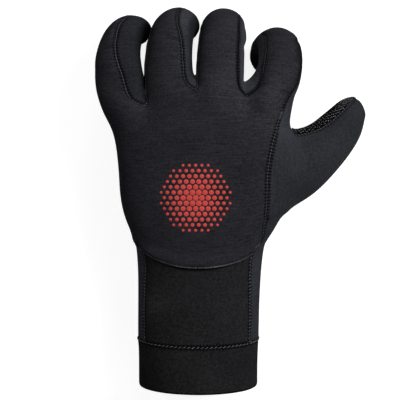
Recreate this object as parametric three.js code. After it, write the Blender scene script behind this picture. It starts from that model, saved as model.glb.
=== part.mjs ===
import * as THREE from 'three';

// A left-hand neoprene glove with a long cuff, sewn from flat panels that meet edge to edge. It is a
// hollow shell that keeps its form, and it lies palm down on its fingertips and the edge of its cuff.
//
// The part's frame, in millimetres: +X towards the thumb, +Y along the fingers, +Z up, with the back
// of the hand on top. The origin is under the middle of the glove, on the surface it lies on.
//
// The skin is first worked out for an upright hand, as one cage of four-sided cells: hand x to the
// thumb, hand y to the palm, hand z from the cuff to the fingers. Each cell belongs to one panel.
// The cage's rows and columns follow the seams, so a seam is always a line of cell edges.

// Driving dimensions.
const WALL = 3;               // thickness of the neoprene
const SEAM_GAP = 0.3;         // between two panels at a seam
const SHARPEST = 0.35;        // keeps that gap from growing long at a sharp corner of a panel
const LAP_RISE = 0.8;         // how far the back panel's lower edge stands over the wrist panel
const TILT_DEG = 5.9;         // the cuff lies this much lower than the fingers, about X
const PRESS = 2.2;            // how far the soft wall gives where it meets the ground
const NEOPRENE = { color: 0x1b1b1e, roughness: 0.86, metalness: 0 };
const GRIP = { color: 0x121214, roughness: 0.55, metalness: 0 };

// The cage's layout. Columns run round the hand: over the back from the little finger to the index
// finger, down the thumb side, across the palm, and up the little finger's side.
const FACE_COLS = 4;                              // across the back or the front of one finger
const SIDE_COLS = 4;                              // down one side of a finger
const LONG_SEAM = 4 * FACE_COLS;                  // column of the long seam beside the thumb
const PALM_EDGE = LONG_SEAM + SIDE_COLS;          // column of the palm panel's edge, thumb side
const OUTER_SEAM = PALM_EDGE + 4 * FACE_COLS;     // column of the seam under the little finger's side
const COLS = OUTER_SEAM + SIDE_COLS;
const CUFF_ROW = 2;                               // row of the cuff seam
const LAP_ROW = 6;                                // row of the back panel's lower edge
const THUMB_COLS = 6;                             // the thumb's opening in the hand, in cells
const THUMB_ROWS = [8, 14];
const ARC_FALL = 1.8;                             // the lap's arc falls as its bearing to this power
const BRIDGE = [0.65, 0.5, 0.45];                 // where the ring between hand and finger stands
const WEB_BRIDGE = [0.85, 0.45, 0.08];            // the same beside a web, where the seam turns in a U

function table(columns, rows) {
  return rows.map((row) => Object.fromEntries(columns.map((name, i) => [name, row[i]])));
}

// Cross-sections of the cuff, wrist and hand. dip lowers the row in the middle of the back, drop
// lowers it at the long seam, and both give the lap its arc. square is the section's exponent: 2 is an
// ellipse. longSeam and backSeam are bearings in degrees, 0 at the back of the hand, 90 at the thumb.
const HAND = table(
  ['z', 'dip', 'drop', 'left', 'right', 'back', 'palm', 'square', 'longSeam', 'backSeam'],
  [
    [0.0, 0.0, 0.0, -39.4, 39.6, -30.0, 29.0, 1.95, 55, -62],
    [15.5, 0.0, 0.0, -39.5, 39.6, -30.0, 29.0, 1.95, 55, -62],
    [31.5, 0.0, 0.0, -39.6, 39.8, -29.5, 28.5, 2.00, 55, -62],
    [49.0, 2.0, 0.0, -39.6, 40.1, -28.5, 28.0, 2.10, 54, -62],
    [68.5, 7.5, 0.3, -39.6, 40.8, -28.0, 27.5, 2.10, 53, -61],
    [88.5, 13.5, -4.5, -39.8, 43.2, -27.2, 27.0, 2.15, 46, -57],
    [97.2, 12.8, 1.0, -41.4, 44.6, -27.0, 27.0, 2.20, 62, -67],
    [105.0, 9.0, 0.6, -45.4, 50.4, -26.5, 27.0, 2.25, 54, -66],
    [113.0, 5.0, 0.3, -48.4, 54.8, -26.0, 27.0, 2.30, 45, -66],
    [122.0, 2.5, 0.0, -50.4, 56.6, -25.5, 27.0, 2.35, 44, -66],
    [131.5, 1.0, 0.0, -51.5, 58.0, -25.0, 26.5, 2.40, 42, -66],
    [141.0, 0.5, 0.0, -51.8, 58.0, -24.5, 26.0, 2.40, 42, -66],
    [151.0, 0.0, 0.0, -52.8, 58.0, -24.0, 25.0, 2.45, 44, -66],
    [161.0, 0.0, 0.0, -54.0, 58.2, -23.5, 24.0, 2.50, 47, -66],
    [171.0, 0.0, 0.0, -56.2, 58.4, -22.5, 22.5, 2.50, 52, -66],
    [181.0, 0.0, 0.0, -59.2, 59.4, -21.0, 20.5, 2.50, 56, -66],
  ],
);
const PALM_BEARING = 118;
const OUTER_BEARING = 258;
const MIDDLE_BEARING = -2;    // of the column between the ring and middle fingers
const TOP_ROW = HAND.length;
const TOP_BLEND = 0.45;       // how far the row under the finger roots already has their form
const TOP_STEP = 10;

// Where the fingers part, as hand-frame points: on the back, at the saddle between them, in the palm.
const WEBS = table(
  ['back', 'saddle', 'palm'],
  [
    [[-33.3, -12.5, 185.0], [-31.8, 0.5, 195.5], [-33.0, 14.0, 195.0]],
    [[-1.6, -15.5, 197.5], [-0.4, 0.0, 202.5], [-1.5, 14.0, 197.0]],
    [[30.6, -14.5, 193.0], [29.0, 0.0, 200.0], [30.0, 13.5, 193.0]],
  ],
);
const ROOT_LEFT = { back: [-61.8, -9.0, 188.0], palm: [-60.5, 10.0, 190.0], bulge: [-3.5, 0, 0] };
const ROOT_RIGHT = { back: [55.5, -12.0, 189.0], palm: [58.5, 11.0, 192.0], bulge: [5.0, 0, 0] };
// How the root of each finger swells between its webs, on the back and in the palm.
const KNUCKLES = table(
  ['back', 'palm'],
  [
    [[-1.0, -6.5, 1.0], [0, 5.5, 0]],
    [[0, -5.5, 1.5], [0, 5.0, 0]],
    [[0, -5.0, 2.0], [0, 5.0, 0]],
    [[1.5, -7.0, 1.0], [0, 5.5, 0]],
  ],
);

// Each finger's middle line starts at root, leans to the side, and bends twice towards the palm.
// turn is the bearing that it bends to, and bend1 and bend2 are centred at at1 and at2 along it.
const FINGER_LINES = table(
  ['root', 'lean', 'flex', 'turn', 'at1', 'bend1', 'at2', 'bend2', 'length'],
  [
    [[-49.8, -0.5, 187.5], -7.8, 10, 21, 33.6, 56, 56.6, 34, 76.5],
    [[-19.3, -1.0, 192.0], -2.3, 10, 14, 33.0, 55, 56.0, 36, 77],
    [[13.2, -1.0, 192.5], 2.5, 10, 3, 32.0, 55, 56.0, 32, 75],
    [[48.4, -1.0, 191.3], 17.0, 14, -13, 25.0, 60, 46.2, 62, 68.2],
  ],
);
const BEND_REACH = [16, 12];  // each bend is spread this far before and after its middle
const LINE_STEPS = 120;       // short straight steps that add up to the bent line
const FIRST_RING = 15;        // from the root to the first ring of the free finger
const FREE_RINGS = 7;
const LAST_RING = 12;         // from the last full ring to the fingertip
const TIP_RINGS = [{ back: 5, scale: 0.92 }, { back: -1, scale: 0.7 }];
const TIP_RISE = 4;

// Half sizes of each finger at its root and tip, and bearings of its four seams. The right-hand seam on
// the back turns from backRight to tipRight on the way over the knuckle.
const FINGER_SECTIONS = table(
  ['rootWidth', 'rootDepth', 'tipWidth', 'tipDepth', 'backLeft', 'backRight', 'tipRight', 'palmRight',
    'palmLeft'],
  [
    [18.2, 13.5, 11.2, 10.0, -88, 12, -18, 120, 235],
    [17.0, 15.0, 13.2, 11.8, -80, 38, 0, 130, 225],
    [16.5, 14.5, 13.8, 11.5, -80, 48, 48, 130, 225],
    [15.4, 15.5, 13.4, 13.2, -54, 70, 70, 125, 228],
  ],
);
// Where along each finger that turn begins and ends, as shares of its length.
const SEAM_TURNS = [[0.1, 0.45], [0.35, 0.6], [0.35, 0.6], [0.35, 0.6]];
const FOURCHETTES = ['fourchette_little_ring', 'fourchette_ring_middle', 'fourchette_middle_index'];

// The thumb's sections: its edge towards the index finger, its outer edge, depth of the middle line
// and half the section's depth.
const THUMB = table(
  ['innerX', 'innerZ', 'outerX', 'outerZ', 'y', 'halfDepth'],
  [
    [60.3, 168.2, 59.7, 118.0, 3.0, 20.0],
    [68.2, 169.5, 73.0, 124.5, 5.5, 18.0],
    [75.3, 172.6, 84.0, 134.5, 8.0, 16.6],
    [81.2, 177.6, 92.4, 144.0, 10.5, 15.5],
    [87.0, 181.8, 99.6, 153.2, 13.5, 14.5],
    [92.6, 186.2, 105.2, 162.4, 17.0, 13.0],
    [97.6, 188.0, 107.8, 172.0, 20.0, 10.0],
  ],
);
// The thumb's ring starts at the top of the long seam. These are some of its columns with their
// bearings at the thumb's root and at its tip: 0 on the back, 90 towards the index finger. Its two
// seams are at the first and second of these columns.
const THUMB_SEAM_COLS = [4, 14];
const THUMB_BEARINGS = [[4, 64, 43], [14, 248, 248], [18, 308, 308], [24, 390, 390], [28, 424, 403]];
const THUMB_SEAM_TURN = [0.1, 0.55];              // where along the thumb they change from root to tip

const radians = (degrees) => degrees * Math.PI / 180;
const vec = (xyz) => new THREE.Vector3(...xyz);
const lerp = (a, b, t) => a + (b - a) * t;

// Value at x on the straight lines through [x, value] knots.
function along(knots, x) {
  let i = 0;
  while (i < knots.length - 2 && x > knots[i + 1][0]) i += 1;
  const [x0, y0] = knots[i];
  const [x1, y1] = knots[i + 1];
  return lerp(y0, y1, (x - x0) / (x1 - x0));
}

// 0 before a, 1 after b, with a smooth rise between them.
function rise(a, b, x) {
  const t = Math.min(Math.max((x - a) / (b - a), 0), 1);
  return t * t * (3 - 2 * t);
}

// A closed section: sine and cosine raised so that square = 2 is an ellipse and more is boxier.
function power(value, exponent) {
  return Math.sign(value) * Math.abs(value) ** exponent;
}

// The skin under construction: points, four-sided cells, and the panel of each cell.
const points = [];
const cells = [];

function addPoint(p) {
  points.push(p);
  return points.length - 1;
}

function addCell(corners, panel, flip) {
  cells.push({ corners: flip ? [...corners].reverse() : corners, panel });
}

// Joins rows of point numbers into cells. panelOf(row, column) may be null for a hole.
function addRows(rows, panelOf, flip = false) {
  for (let r = 0; r + 1 < rows.length; r += 1) {
    for (let c = 0; c < rows[r].length; c += 1) {
      const next = (c + 1) % rows[r].length;
      const panel = panelOf(r, c);
      if (panel) addCell([rows[r][c], rows[r][next], rows[r + 1][next], rows[r + 1][c]], panel, flip);
    }
  }
}

// Closes a ring of 2 (across + down) points with a grid of cells that swells along end.
function addCap(ring, across, down, end, panelOf, flip = false) {
  const at = (i) => ring[i % ring.length];
  const top = (u) => at(u);
  const right = (v) => at(across + v);
  const bottom = (u) => at(2 * across + down - u);
  const left = (v) => at(2 * (across + down) - v);
  const grid = [];
  for (let v = 0; v <= down; v += 1) {
    const row = [];
    for (let u = 0; u <= across; u += 1) {
      if (v === 0) row.push(top(u));
      else if (v === down) row.push(bottom(u));
      else if (u === 0) row.push(left(v));
      else if (u === across) row.push(right(v));
      else {
        // A Coons patch: what the two pairs of sides give, less what the corners give twice.
        const a = u / across;
        const b = v / down;
        const p = new THREE.Vector3();
        p.addScaledVector(points[top(u)], 1 - b).addScaledVector(points[bottom(u)], b);
        p.addScaledVector(points[left(v)], 1 - a).addScaledVector(points[right(v)], a);
        p.addScaledVector(points[top(0)], -(1 - a) * (1 - b));
        p.addScaledVector(points[top(across)], -a * (1 - b));
        p.addScaledVector(points[bottom(0)], -(1 - a) * b);
        p.addScaledVector(points[bottom(across)], -a * b);
        const swell = Math.sqrt((1 - (2 * a - 1) ** 2) * (1 - (2 * b - 1) ** 2));
        row.push(addPoint(p.addScaledVector(end, TIP_RISE * swell)));
      }
    }
    grid.push(row);
  }
  for (let v = 0; v < down; v += 1) {
    for (let u = 0; u < across; u += 1) {
      addCell([grid[v][u], grid[v][u + 1], grid[v + 1][u + 1], grid[v + 1][u]], panelOf(u), flip);
    }
  }
}

// One row of the hand, as points round its section.
function handRing(s) {
  const bearings = [
    [0, s.backSeam], [FACE_COLS, s.backSeam / 2], [2 * FACE_COLS, MIDDLE_BEARING], [3 * FACE_COLS, s.longSeam / 2],
    [LONG_SEAM, s.longSeam], [PALM_EDGE, PALM_BEARING], [OUTER_SEAM, OUTER_BEARING],
    [COLS, 360 + s.backSeam],
  ];
  const ring = [];
  for (let c = 0; c < COLS; c += 1) {
    const bearing = radians(along(bearings, c));
    const sin = power(Math.sin(bearing), 2 / s.square);
    const cos = power(Math.cos(bearing), 2 / s.square);
    const x = (s.left + s.right) / 2 + sin * (s.right - s.left) / 2;
    const y = cos > 0 ? cos * s.back : -cos * s.palm;
    const u = Math.min(c / (2 * FACE_COLS) - 1, 1);
    const sag = s.dip * (1 - Math.abs(u) ** ARC_FALL) + s.drop * along([[0, 0], [LONG_SEAM, 1], [OUTER_SEAM, 0],
      [COLS, 0]], c);
    ring.push(new THREE.Vector3(x, y, s.z - sag));
  }
  return ring;
}

// A line of n + 1 points from a to b that swells by bulge in its middle. The last one is left out.
function swollenLine(a, b, n, bulge) {
  const line = [];
  for (let i = 0; i < n; i += 1) {
    const t = i / n;
    line.push(vec(a).lerp(vec(b), t).addScaledVector(vec(bulge), 4 * t * (1 - t)));
  }
  return line;
}

// The hand's last row: the roots of the four fingers, as one line round all of them.
function rootRing() {
  const back = [ROOT_LEFT.back, ...WEBS.map((w) => w.back), ROOT_RIGHT.back];
  const palm = [ROOT_LEFT.palm, ...WEBS.map((w) => w.palm), ROOT_RIGHT.palm];
  const overBack = KNUCKLES.flatMap((k, i) => swollenLine(back[i], back[i + 1], FACE_COLS, k.back));
  const overPalm = KNUCKLES.flatMap((k, i) => {
    const from = KNUCKLES.length - i;
    return swollenLine(palm[from], palm[from - 1], FACE_COLS, k.palm);
  });
  return [
    ...overBack, ...swollenLine(ROOT_RIGHT.back, ROOT_RIGHT.palm, SIDE_COLS, ROOT_RIGHT.bulge),
    ...overPalm, ...swollenLine(ROOT_LEFT.palm, ROOT_LEFT.back, SIDE_COLS, ROOT_LEFT.bulge),
  ];
}

function handRings() {
  const rings = [...HAND.map(handRing), rootRing()];
  rings[TOP_ROW - 1].forEach((p, c) => {
    const root = rings[TOP_ROW][c].clone();
    root.z -= TOP_STEP;
    p.lerp(root, TOP_BLEND);
  });
  return rings;
}

function inThumbOpening(r, c) {
  return r >= THUMB_ROWS[0] && r < THUMB_ROWS[1] && c >= LONG_SEAM && c < LONG_SEAM + THUMB_COLS;
}

function handPanel(r, c) {
  if (inThumbOpening(r, c)) return null;
  if (r < CUFF_ROW) return 'cuff_band';
  if (c >= LONG_SEAM && c < PALM_EDGE) return 'thumb_panel';
  if (c >= PALM_EDGE && c < OUTER_SEAM) return 'palm_panel';
  if (r >= LAP_ROW) return 'back_panel';
  return c >= OUTER_SEAM ? 'palm_panel' : 'wrist_panel';
}

// Point numbers of the hand's rows. Points that would lie inside the thumb's opening are left out.
function addHand() {
  const rows = handRings().map((ring, r) => ring.map((p, c) => {
    const inside = inThumbOpening(r, c) && r > THUMB_ROWS[0] && c > LONG_SEAM;
    return inside ? -1 : addPoint(p);
  }));
  addRows(rows, handPanel);
  return rows;
}

// The points of a web between its back and palm ends, on a parabola through the saddle.
function addWeb(web) {
  const ids = [];
  for (let i = 1; i < SIDE_COLS; i += 1) {
    const t = i / SIDE_COLS;
    const p = vec(web.back).multiplyScalar((1 - t) * (1 - 2 * t));
    p.addScaledVector(vec(web.saddle), 4 * t * (1 - t)).addScaledVector(vec(web.palm), t * (2 * t - 1));
    ids.push(addPoint(p));
  }
  return ids;
}

// A finger's middle line at distance s from its root: point, direction, back and side.
function fingerFrame(line, s) {
  const lean = radians(line.lean);
  const turn = radians(line.turn);
  const up = new THREE.Vector3(Math.sin(lean), 0, Math.cos(lean));
  const curl = new THREE.Vector3(
    Math.sin(turn) * Math.cos(lean), Math.cos(turn), -Math.sin(turn) * Math.sin(lean));
  const bent = (d) => radians(line.flex
    + line.bend1 * rise(line.at1 - BEND_REACH[0], line.at1 + BEND_REACH[0], d)
    + line.bend2 * rise(line.at2 - BEND_REACH[1], line.at2 + BEND_REACH[1], d));
  const point = vec(line.root);
  for (let i = 0; i < LINE_STEPS; i += 1) {
    const angle = bent(s * (i + 0.5) / LINE_STEPS);
    point.addScaledVector(up, Math.cos(angle) * s / LINE_STEPS);
    point.addScaledVector(curl, Math.sin(angle) * s / LINE_STEPS);
  }
  const angle = bent(s);
  const ahead = up.clone().multiplyScalar(Math.cos(angle)).addScaledVector(curl, Math.sin(angle));
  const back = up.clone().multiplyScalar(Math.sin(angle)).addScaledVector(curl, -Math.cos(angle));
  return { point, ahead, back, side: ahead.clone().cross(back) };
}

function fingerRings(line, section, [turnFrom, turnTo]) {
  const n = FACE_COLS;
  const stations = [];
  for (let i = 0; i < FREE_RINGS; i += 1) {
    stations.push({ s: lerp(FIRST_RING, line.length - LAST_RING, i / (FREE_RINGS - 1)), scale: 1 });
  }
  TIP_RINGS.forEach((t) => stations.push({ s: line.length - t.back, scale: t.scale }));
  const rings = stations.map(({ s, scale }) => {
    const { point, back, side } = fingerFrame(line, s);
    const t = Math.min(s / line.length, 1);
    const width = scale * lerp(section.rootWidth, section.tipWidth, t);
    const depth = scale * lerp(section.rootDepth, section.tipDepth, t);
    const backRight = lerp(section.backRight, section.tipRight, rise(turnFrom, turnTo, t));
    const bearings = [
      [0, section.backLeft], [n, backRight], [n + SIDE_COLS, section.palmRight],
      [2 * n + SIDE_COLS, section.palmLeft], [2 * (n + SIDE_COLS), section.backLeft + 360],
    ];
    return Array.from({ length: 2 * (n + SIDE_COLS) }, (_, c) => {
      const a = radians(along(bearings, c) + line.turn);
      return point.clone().addScaledVector(side, width * Math.sin(a))
        .addScaledVector(back, depth * Math.cos(a));
    });
  });
  return { rings, end: fingerFrame(line, line.length).ahead };
}

// Adds the ring between the opening in the hand and the first free ring, and the free rings.
function addTube(base, rings, panelOf, flip, webCols = []) {
  const bridge = rings[0].map((p, i) => {
    const from = points[base[i]];
    const share = webCols.includes(i) ? WEB_BRIDGE : BRIDGE;
    return new THREE.Vector3(
      lerp(from.x, p.x, share[0]), lerp(from.y, p.y, share[1]), lerp(from.z, p.z, share[2]));
  });
  const rows = [base, ...[bridge, ...rings].map((ring) => ring.map(addPoint))];
  addRows(rows, panelOf, flip);
  return rows[rows.length - 1];
}

function addFinger(k, rootRow, webs) {
  const left = k === 0 ? rootRow.slice(OUTER_SEAM + 1) : [...webs[k - 1]].reverse();
  const right = k === 3 ? rootRow.slice(LONG_SEAM + 1, PALM_EDGE) : webs[k];
  const firstPalm = OUTER_SEAM - (k + 1) * FACE_COLS;
  const base = [
    ...rootRow.slice(k * FACE_COLS, (k + 1) * FACE_COLS + 1), ...right,
    ...Array.from({ length: FACE_COLS + 1 }, (_, i) => rootRow[firstPalm + i]), ...left,
  ];
  const sides = ['back_panel', ...FOURCHETTES, 'thumb_panel'];
  const panelOf = (r, c) => {
    if (c < FACE_COLS) return 'back_panel';
    if (c < FACE_COLS + SIDE_COLS) return sides[k + 1];
    return c < 2 * FACE_COLS + SIDE_COLS ? 'palm_panel' : sides[k];
  };
  const { rings, end } = fingerRings(FINGER_LINES[k], FINGER_SECTIONS[k], SEAM_TURNS[k]);
  const webCols = [k > 0 ? 0 : -1, k < 3 ? FACE_COLS : -1];
  const tip = addTube(base, rings, panelOf, false, webCols);
  addCap(tip, FACE_COLS, SIDE_COLS, end, () => 'back_panel');
}

function thumbRings() {
  const inner = THUMB.map((s) => new THREE.Vector3(s.innerX, s.y, s.innerZ));
  const outer = THUMB.map((s) => new THREE.Vector3(s.outerX, s.y, s.outerZ));
  const middle = inner.map((p, i) => p.clone().add(outer[i]).multiplyScalar(0.5));
  const last = THUMB.length - 1;
  const count = 2 * (THUMB_COLS + THUMB_ROWS[1] - THUMB_ROWS[0]);
  let ahead;
  const rings = THUMB.map((s, i) => {
    const up = inner[i].clone().sub(outer[i]).multiplyScalar(0.5);
    const side = up.clone().normalize();
    ahead = middle[Math.min(i + 1, last)].clone().sub(middle[Math.max(i - 1, 0)]);
    ahead.addScaledVector(side, -ahead.dot(side)).normalize();
    const back = ahead.clone().cross(side).multiplyScalar(s.halfDepth);
    const share = rise(THUMB_SEAM_TURN[0], THUMB_SEAM_TURN[1], i / last);
    const bearings = THUMB_BEARINGS.map(([c, root, tip]) => [c, root + (tip - root) * share]);
    return Array.from({ length: count }, (_, c) => {
      const column = c < THUMB_SEAM_COLS[0] ? c + count : c;
      const a = radians(along(bearings, column));
      return middle[i].clone().addScaledVector(up, Math.sin(a)).addScaledVector(back, Math.cos(a));
    });
  });
  return { rings, end: ahead };
}

function addThumb(rows) {
  const [low, high] = THUMB_ROWS;
  const down = high - low;
  const far = LONG_SEAM + THUMB_COLS;
  const base = [];
  for (let i = 0; i < THUMB_COLS; i += 1) base.push(rows[high][LONG_SEAM + i]);
  for (let i = 0; i < down; i += 1) base.push(rows[high - i][far]);
  for (let i = 0; i < THUMB_COLS; i += 1) base.push(rows[low][far - i]);
  for (let i = 0; i < down; i += 1) base.push(rows[low + i][LONG_SEAM]);
  const [first, second] = THUMB_SEAM_COLS;
  const panelOf = (r, c) => (c >= first && c < second ? 'palm_panel' : 'thumb_panel');
  const { rings, end } = thumbRings();
  const tip = addTube(base, rings, panelOf, true);
  addCap(tip, THUMB_COLS, down, end, (u) => (u >= first ? 'palm_panel' : 'thumb_panel'), true);
}

const edgeKey = (a, b) => (a < b ? `${a} ${b}` : `${b} ${a}`);

// How many cells use each edge: 2, or 1 on the cuff's open rim.
function countEdges() {
  const use = new Map();
  cells.forEach(({ corners }) => corners.forEach((a, i) => {
    const key = edgeKey(a, corners[(i + 1) % 4]);
    use.set(key, (use.get(key) ?? 0) + 1);
  }));
  return use;
}

// Moves each point onto the smooth surface that the cage stands for: the Catmull-Clark limit, a mean
// of the point, the other ends of its edges, and the far corners of its cells.
function onSmoothSurface(edgeUse) {
  const blank = () => ({ n: 0, edges: new THREE.Vector3(), corners: new THREE.Vector3(), rim: [] });
  const sums = points.map(blank);
  cells.forEach(({ corners }) => corners.forEach((v, i) => {
    const ends = [corners[(i + 1) % 4], corners[(i + 3) % 4]];
    sums[v].n += 1;
    sums[v].corners.add(points[corners[(i + 2) % 4]]);
    ends.forEach((e) => {
      sums[v].edges.add(points[e]);
      if (edgeUse.get(edgeKey(v, e)) === 1) sums[v].rim.push(points[e]);
    });
  }));
  return points.map((p, v) => {
    const { n, edges, corners, rim } = sums[v];
    if (rim.length === 2) return p.clone().multiplyScalar(4).add(rim[0]).add(rim[1]).divideScalar(6);
    const sum = p.clone().multiplyScalar(n * n).addScaledVector(edges, 2).add(corners);
    return sum.divideScalar(n * (n + 5));
  });
}

// Lays the upright hand palm down, tilted so that cuff and fingertips touch the ground, and flattens
// the wall where it would sink below it.
function layDown(upright) {
  const tilt = radians(TILT_DEG);
  const laid = upright.map((p) => new THREE.Vector3(
    p.x, p.z * Math.cos(tilt) + p.y * Math.sin(tilt), p.z * Math.sin(tilt) - p.y * Math.cos(tilt)));
  const lowest = Math.min(...laid.map((p) => p.z));
  laid.forEach((p) => { p.z = Math.max(p.z - lowest - PRESS, 0); });
  const box = new THREE.Box3().setFromPoints(laid);
  const middle = box.getCenter(new THREE.Vector3());
  laid.forEach((p) => p.sub(new THREE.Vector3(middle.x, middle.y, 0)));
  return laid;
}

function cellNormal(skin, corners) {
  const [a, b, c, d] = corners.map((i) => skin[i]);
  return c.clone().sub(a).cross(d.clone().sub(b));
}

function pointNormals(skin) {
  const normals = skin.map(() => new THREE.Vector3());
  cells.forEach(({ corners }) => {
    const normal = cellNormal(skin, corners);
    corners.forEach((i) => normals[i].add(normal));
  });
  return normals.map((n) => n.normalize());
}

// The directed edges of a panel that no other cell of the panel shares.
function panelEdges(own) {
  const edges = new Map();
  own.forEach((cell) => cell.corners.forEach((a, i) => {
    const b = cell.corners[(i + 1) % 4];
    if (!edges.delete(`${b} ${a}`)) edges.set(`${a} ${b}`, { a, b });
  }));
  return [...edges.values()];
}

// How far each point of a panel's edge moves inwards, so that two panels keep the seam's gap. Inwards
// is square to the edge and to the skin's normal, so the two panels at a seam move exactly apart.
function seamShifts(skin, normals, edges) {
  const inwards = new Map();
  edges.forEach(({ a, b }) => {
    const run = skin[b].clone().sub(skin[a]);
    [a, b].forEach((i) => {
      const inward = normals[i].clone().cross(run).normalize();
      inwards.set(i, [...(inwards.get(i) ?? []), inward]);
    });
  });
  const shifts = new Map();
  inwards.forEach(([first, second], i) => {
    const spread = Math.max(1 + first.dot(second), SHARPEST);
    shifts.set(i, first.clone().add(second).multiplyScalar(SEAM_GAP / 2 / spread));
  });
  return shifts;
}

// A panel as a solid: its outer face, the same face WALL deeper, and a wall along its edge.
function panelGeometry(name, skin, normals, edgeUse, lifts) {
  const own = cells.filter((cell) => cell.panel === name);
  const edges = panelEdges(own);
  const seams = edges.filter(({ a, b }) => edgeUse.get(edgeKey(a, b)) === 2);
  const shifts = seamShifts(skin, normals, seams);
  const used = [...new Set(own.flatMap((cell) => cell.corners))];
  const number = new Map(used.map((id, i) => [id, i]));
  const count = used.length;
  const position = new Float32Array(6 * count);
  used.forEach((id, i) => {
    const edge = skin[id].clone().add(shifts.get(id) ?? new THREE.Vector3());
    edge.z = Math.max(edge.z, 0);
    const lift = name === 'back_panel' ? lifts.get(id) ?? 0 : 0;
    edge.clone().addScaledVector(normals[id], lift).toArray(position, 3 * i);
    edge.addScaledVector(normals[id], -WALL).toArray(position, 3 * (count + i));
  });
  const index = [];
  own.forEach(({ corners }) => {
    const [a, b, c, d] = corners.map((id) => number.get(id));
    index.push(a, b, c, a, c, d);
    index.push(count + a, count + c, count + b, count + a, count + d, count + c);
  });
  edges.forEach((edge) => {
    const a = number.get(edge.a);
    const b = number.get(edge.b);
    // Both panels at a seam split their twisted walls along the same line, so the walls don't cross.
    if (edge.a < edge.b) index.push(b, a, count + b, a, count + a, count + b);
    else index.push(b, a, count + a, b, count + a, count + b);
  });
  const geometry = new THREE.BufferGeometry();
  geometry.setAttribute('position', new THREE.BufferAttribute(position, 3));
  geometry.setIndex(index);
  return geometry;
}

const rows = addHand();
const webs = WEBS.map(addWeb);
FINGER_LINES.forEach((_, k) => addFinger(k, rows[TOP_ROW], webs));
addThumb(rows);
const edgeUse = countEdges();
const skin = layDown(onSmoothSurface(edgeUse));
const normals = pointNormals(skin);
const lifts = new Map(rows[LAP_ROW].slice(0, LONG_SEAM + 1).map((id) => [id, LAP_RISE]));

const PANELS = {
  back_panel: NEOPRENE,
  palm_panel: GRIP,
  thumb_panel: NEOPRENE,
  fourchette_little_ring: NEOPRENE,
  fourchette_ring_middle: NEOPRENE,
  fourchette_middle_index: NEOPRENE,
  wrist_panel: NEOPRENE,
  cuff_band: NEOPRENE,
};

const glove = new THREE.Group();
for (const [name, finish] of Object.entries(PANELS)) {
  const geometry = panelGeometry(name, skin, normals, edgeUse, lifts);
  const mesh = new THREE.Mesh(geometry, new THREE.MeshStandardMaterial(finish));
  mesh.name = name;
  glove.add(mesh);
}

export default glove;
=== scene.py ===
# %% [markdown]
# # A neoprene glove
# A wetsuit glove is cut from flat sheets of 3 mm neoprene: soft black foam between two knitted faces.
# The panels are glued edge to edge and stitched, and their cut gives the fingers a bend at rest. The
# looks of the glove are therefore the looks of its panels: soft walls, rounded edges that meet in a
# narrow groove, a line of thread in the groove, and a fine knit all over. This script makes those
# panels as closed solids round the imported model, and then adds thread, grip print and back print.

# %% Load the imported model
import math

import bpy
import numpy as np
from mathutils import Matrix, Vector


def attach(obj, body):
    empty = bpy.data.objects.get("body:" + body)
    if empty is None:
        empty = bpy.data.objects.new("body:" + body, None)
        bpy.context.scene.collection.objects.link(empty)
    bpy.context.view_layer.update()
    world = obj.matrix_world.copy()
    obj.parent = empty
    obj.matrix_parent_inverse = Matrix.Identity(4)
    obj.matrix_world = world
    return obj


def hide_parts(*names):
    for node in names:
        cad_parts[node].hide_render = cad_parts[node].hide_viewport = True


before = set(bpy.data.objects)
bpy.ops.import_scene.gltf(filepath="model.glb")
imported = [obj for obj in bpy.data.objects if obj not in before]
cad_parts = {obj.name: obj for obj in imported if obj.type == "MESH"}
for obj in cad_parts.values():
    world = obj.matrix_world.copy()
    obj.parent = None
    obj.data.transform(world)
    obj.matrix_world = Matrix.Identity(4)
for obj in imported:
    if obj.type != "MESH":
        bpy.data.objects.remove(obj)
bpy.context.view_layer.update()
print("CAD nodes:", sorted(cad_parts))

# %% [markdown]
# ## The skin as a cage
# A sewn glove has no simple profile: four tubes and a thumb grow out of a fifth. Sculpting or a
# voxel remesh would lose the seam lines, and the panels have to part exactly there. So the skin is a
# cage of four-sided cells whose rows and columns run along the seams. Smoothing the cage rounds the
# form, and a seam stays a line of edges. The sizes are those of the model's own solids, so that both
# lie on the same surface. Until the end they are in millimetres, for an upright hand: x to the
# thumb, y to the palm, z from the cuff to the fingers.

# %% Sizes of the panels and names of the cage's columns and rows
METRE = 0.001                  # a millimetre, in metres
WALL = 3.0                     # thickness of the neoprene
TILT = math.radians(5.9)       # the cuff lies lower than the fingers
PRESS = 2.2                    # how far the soft wall gives where it meets the ground
FINGERS = 4
FACE_COLS = 4                  # across the back or the front of a finger
SIDE_COLS = 4                  # down a finger's side
LONG_SEAM = FINGERS * FACE_COLS          # column of the long seam beside the thumb
PALM_EDGE = LONG_SEAM + SIDE_COLS
OUTER_SEAM = PALM_EDGE + FINGERS * FACE_COLS
COLS = OUTER_SEAM + SIDE_COLS
CUFF_ROW = 2                   # row of the cuff's seam
LAP_ROW = 6                    # row of the back panel's lower edge
THUMB_COLS = 6                 # the thumb's opening in the hand, in cells
THUMB_LOW, THUMB_HIGH = 8, 14
PANELS = ["back_panel", "palm_panel", "thumb_panel", "fourchette_little_ring",
          "fourchette_ring_middle", "fourchette_middle_index", "wrist_panel", "cuff_band"]
BACK, PALM, THUMB_PANEL, LITTLE_RING, RING_MIDDLE, MIDDLE_INDEX, WRIST, CUFF = range(len(PANELS))
HOLE = -1                      # stands for a panel where a cell is left out
print("panels:", len(PANELS), "and columns round the hand:", COLS)

# %% Small helpers: smooth steps, swelling lines and the cage itself
def rise(a, b, x):
    """0 before a, 1 after b, and the smooth cubic 3t^2 - 2t^3 between them."""
    t = np.clip((np.asarray(x, float) - a) / (b - a), 0, 1)
    return t * t * (3 - 2 * t)


def unit(v):
    """Vectors of length 1 in the same directions."""
    return v / np.maximum(np.linalg.norm(v, axis=-1, keepdims=True), 1e-9)


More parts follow.
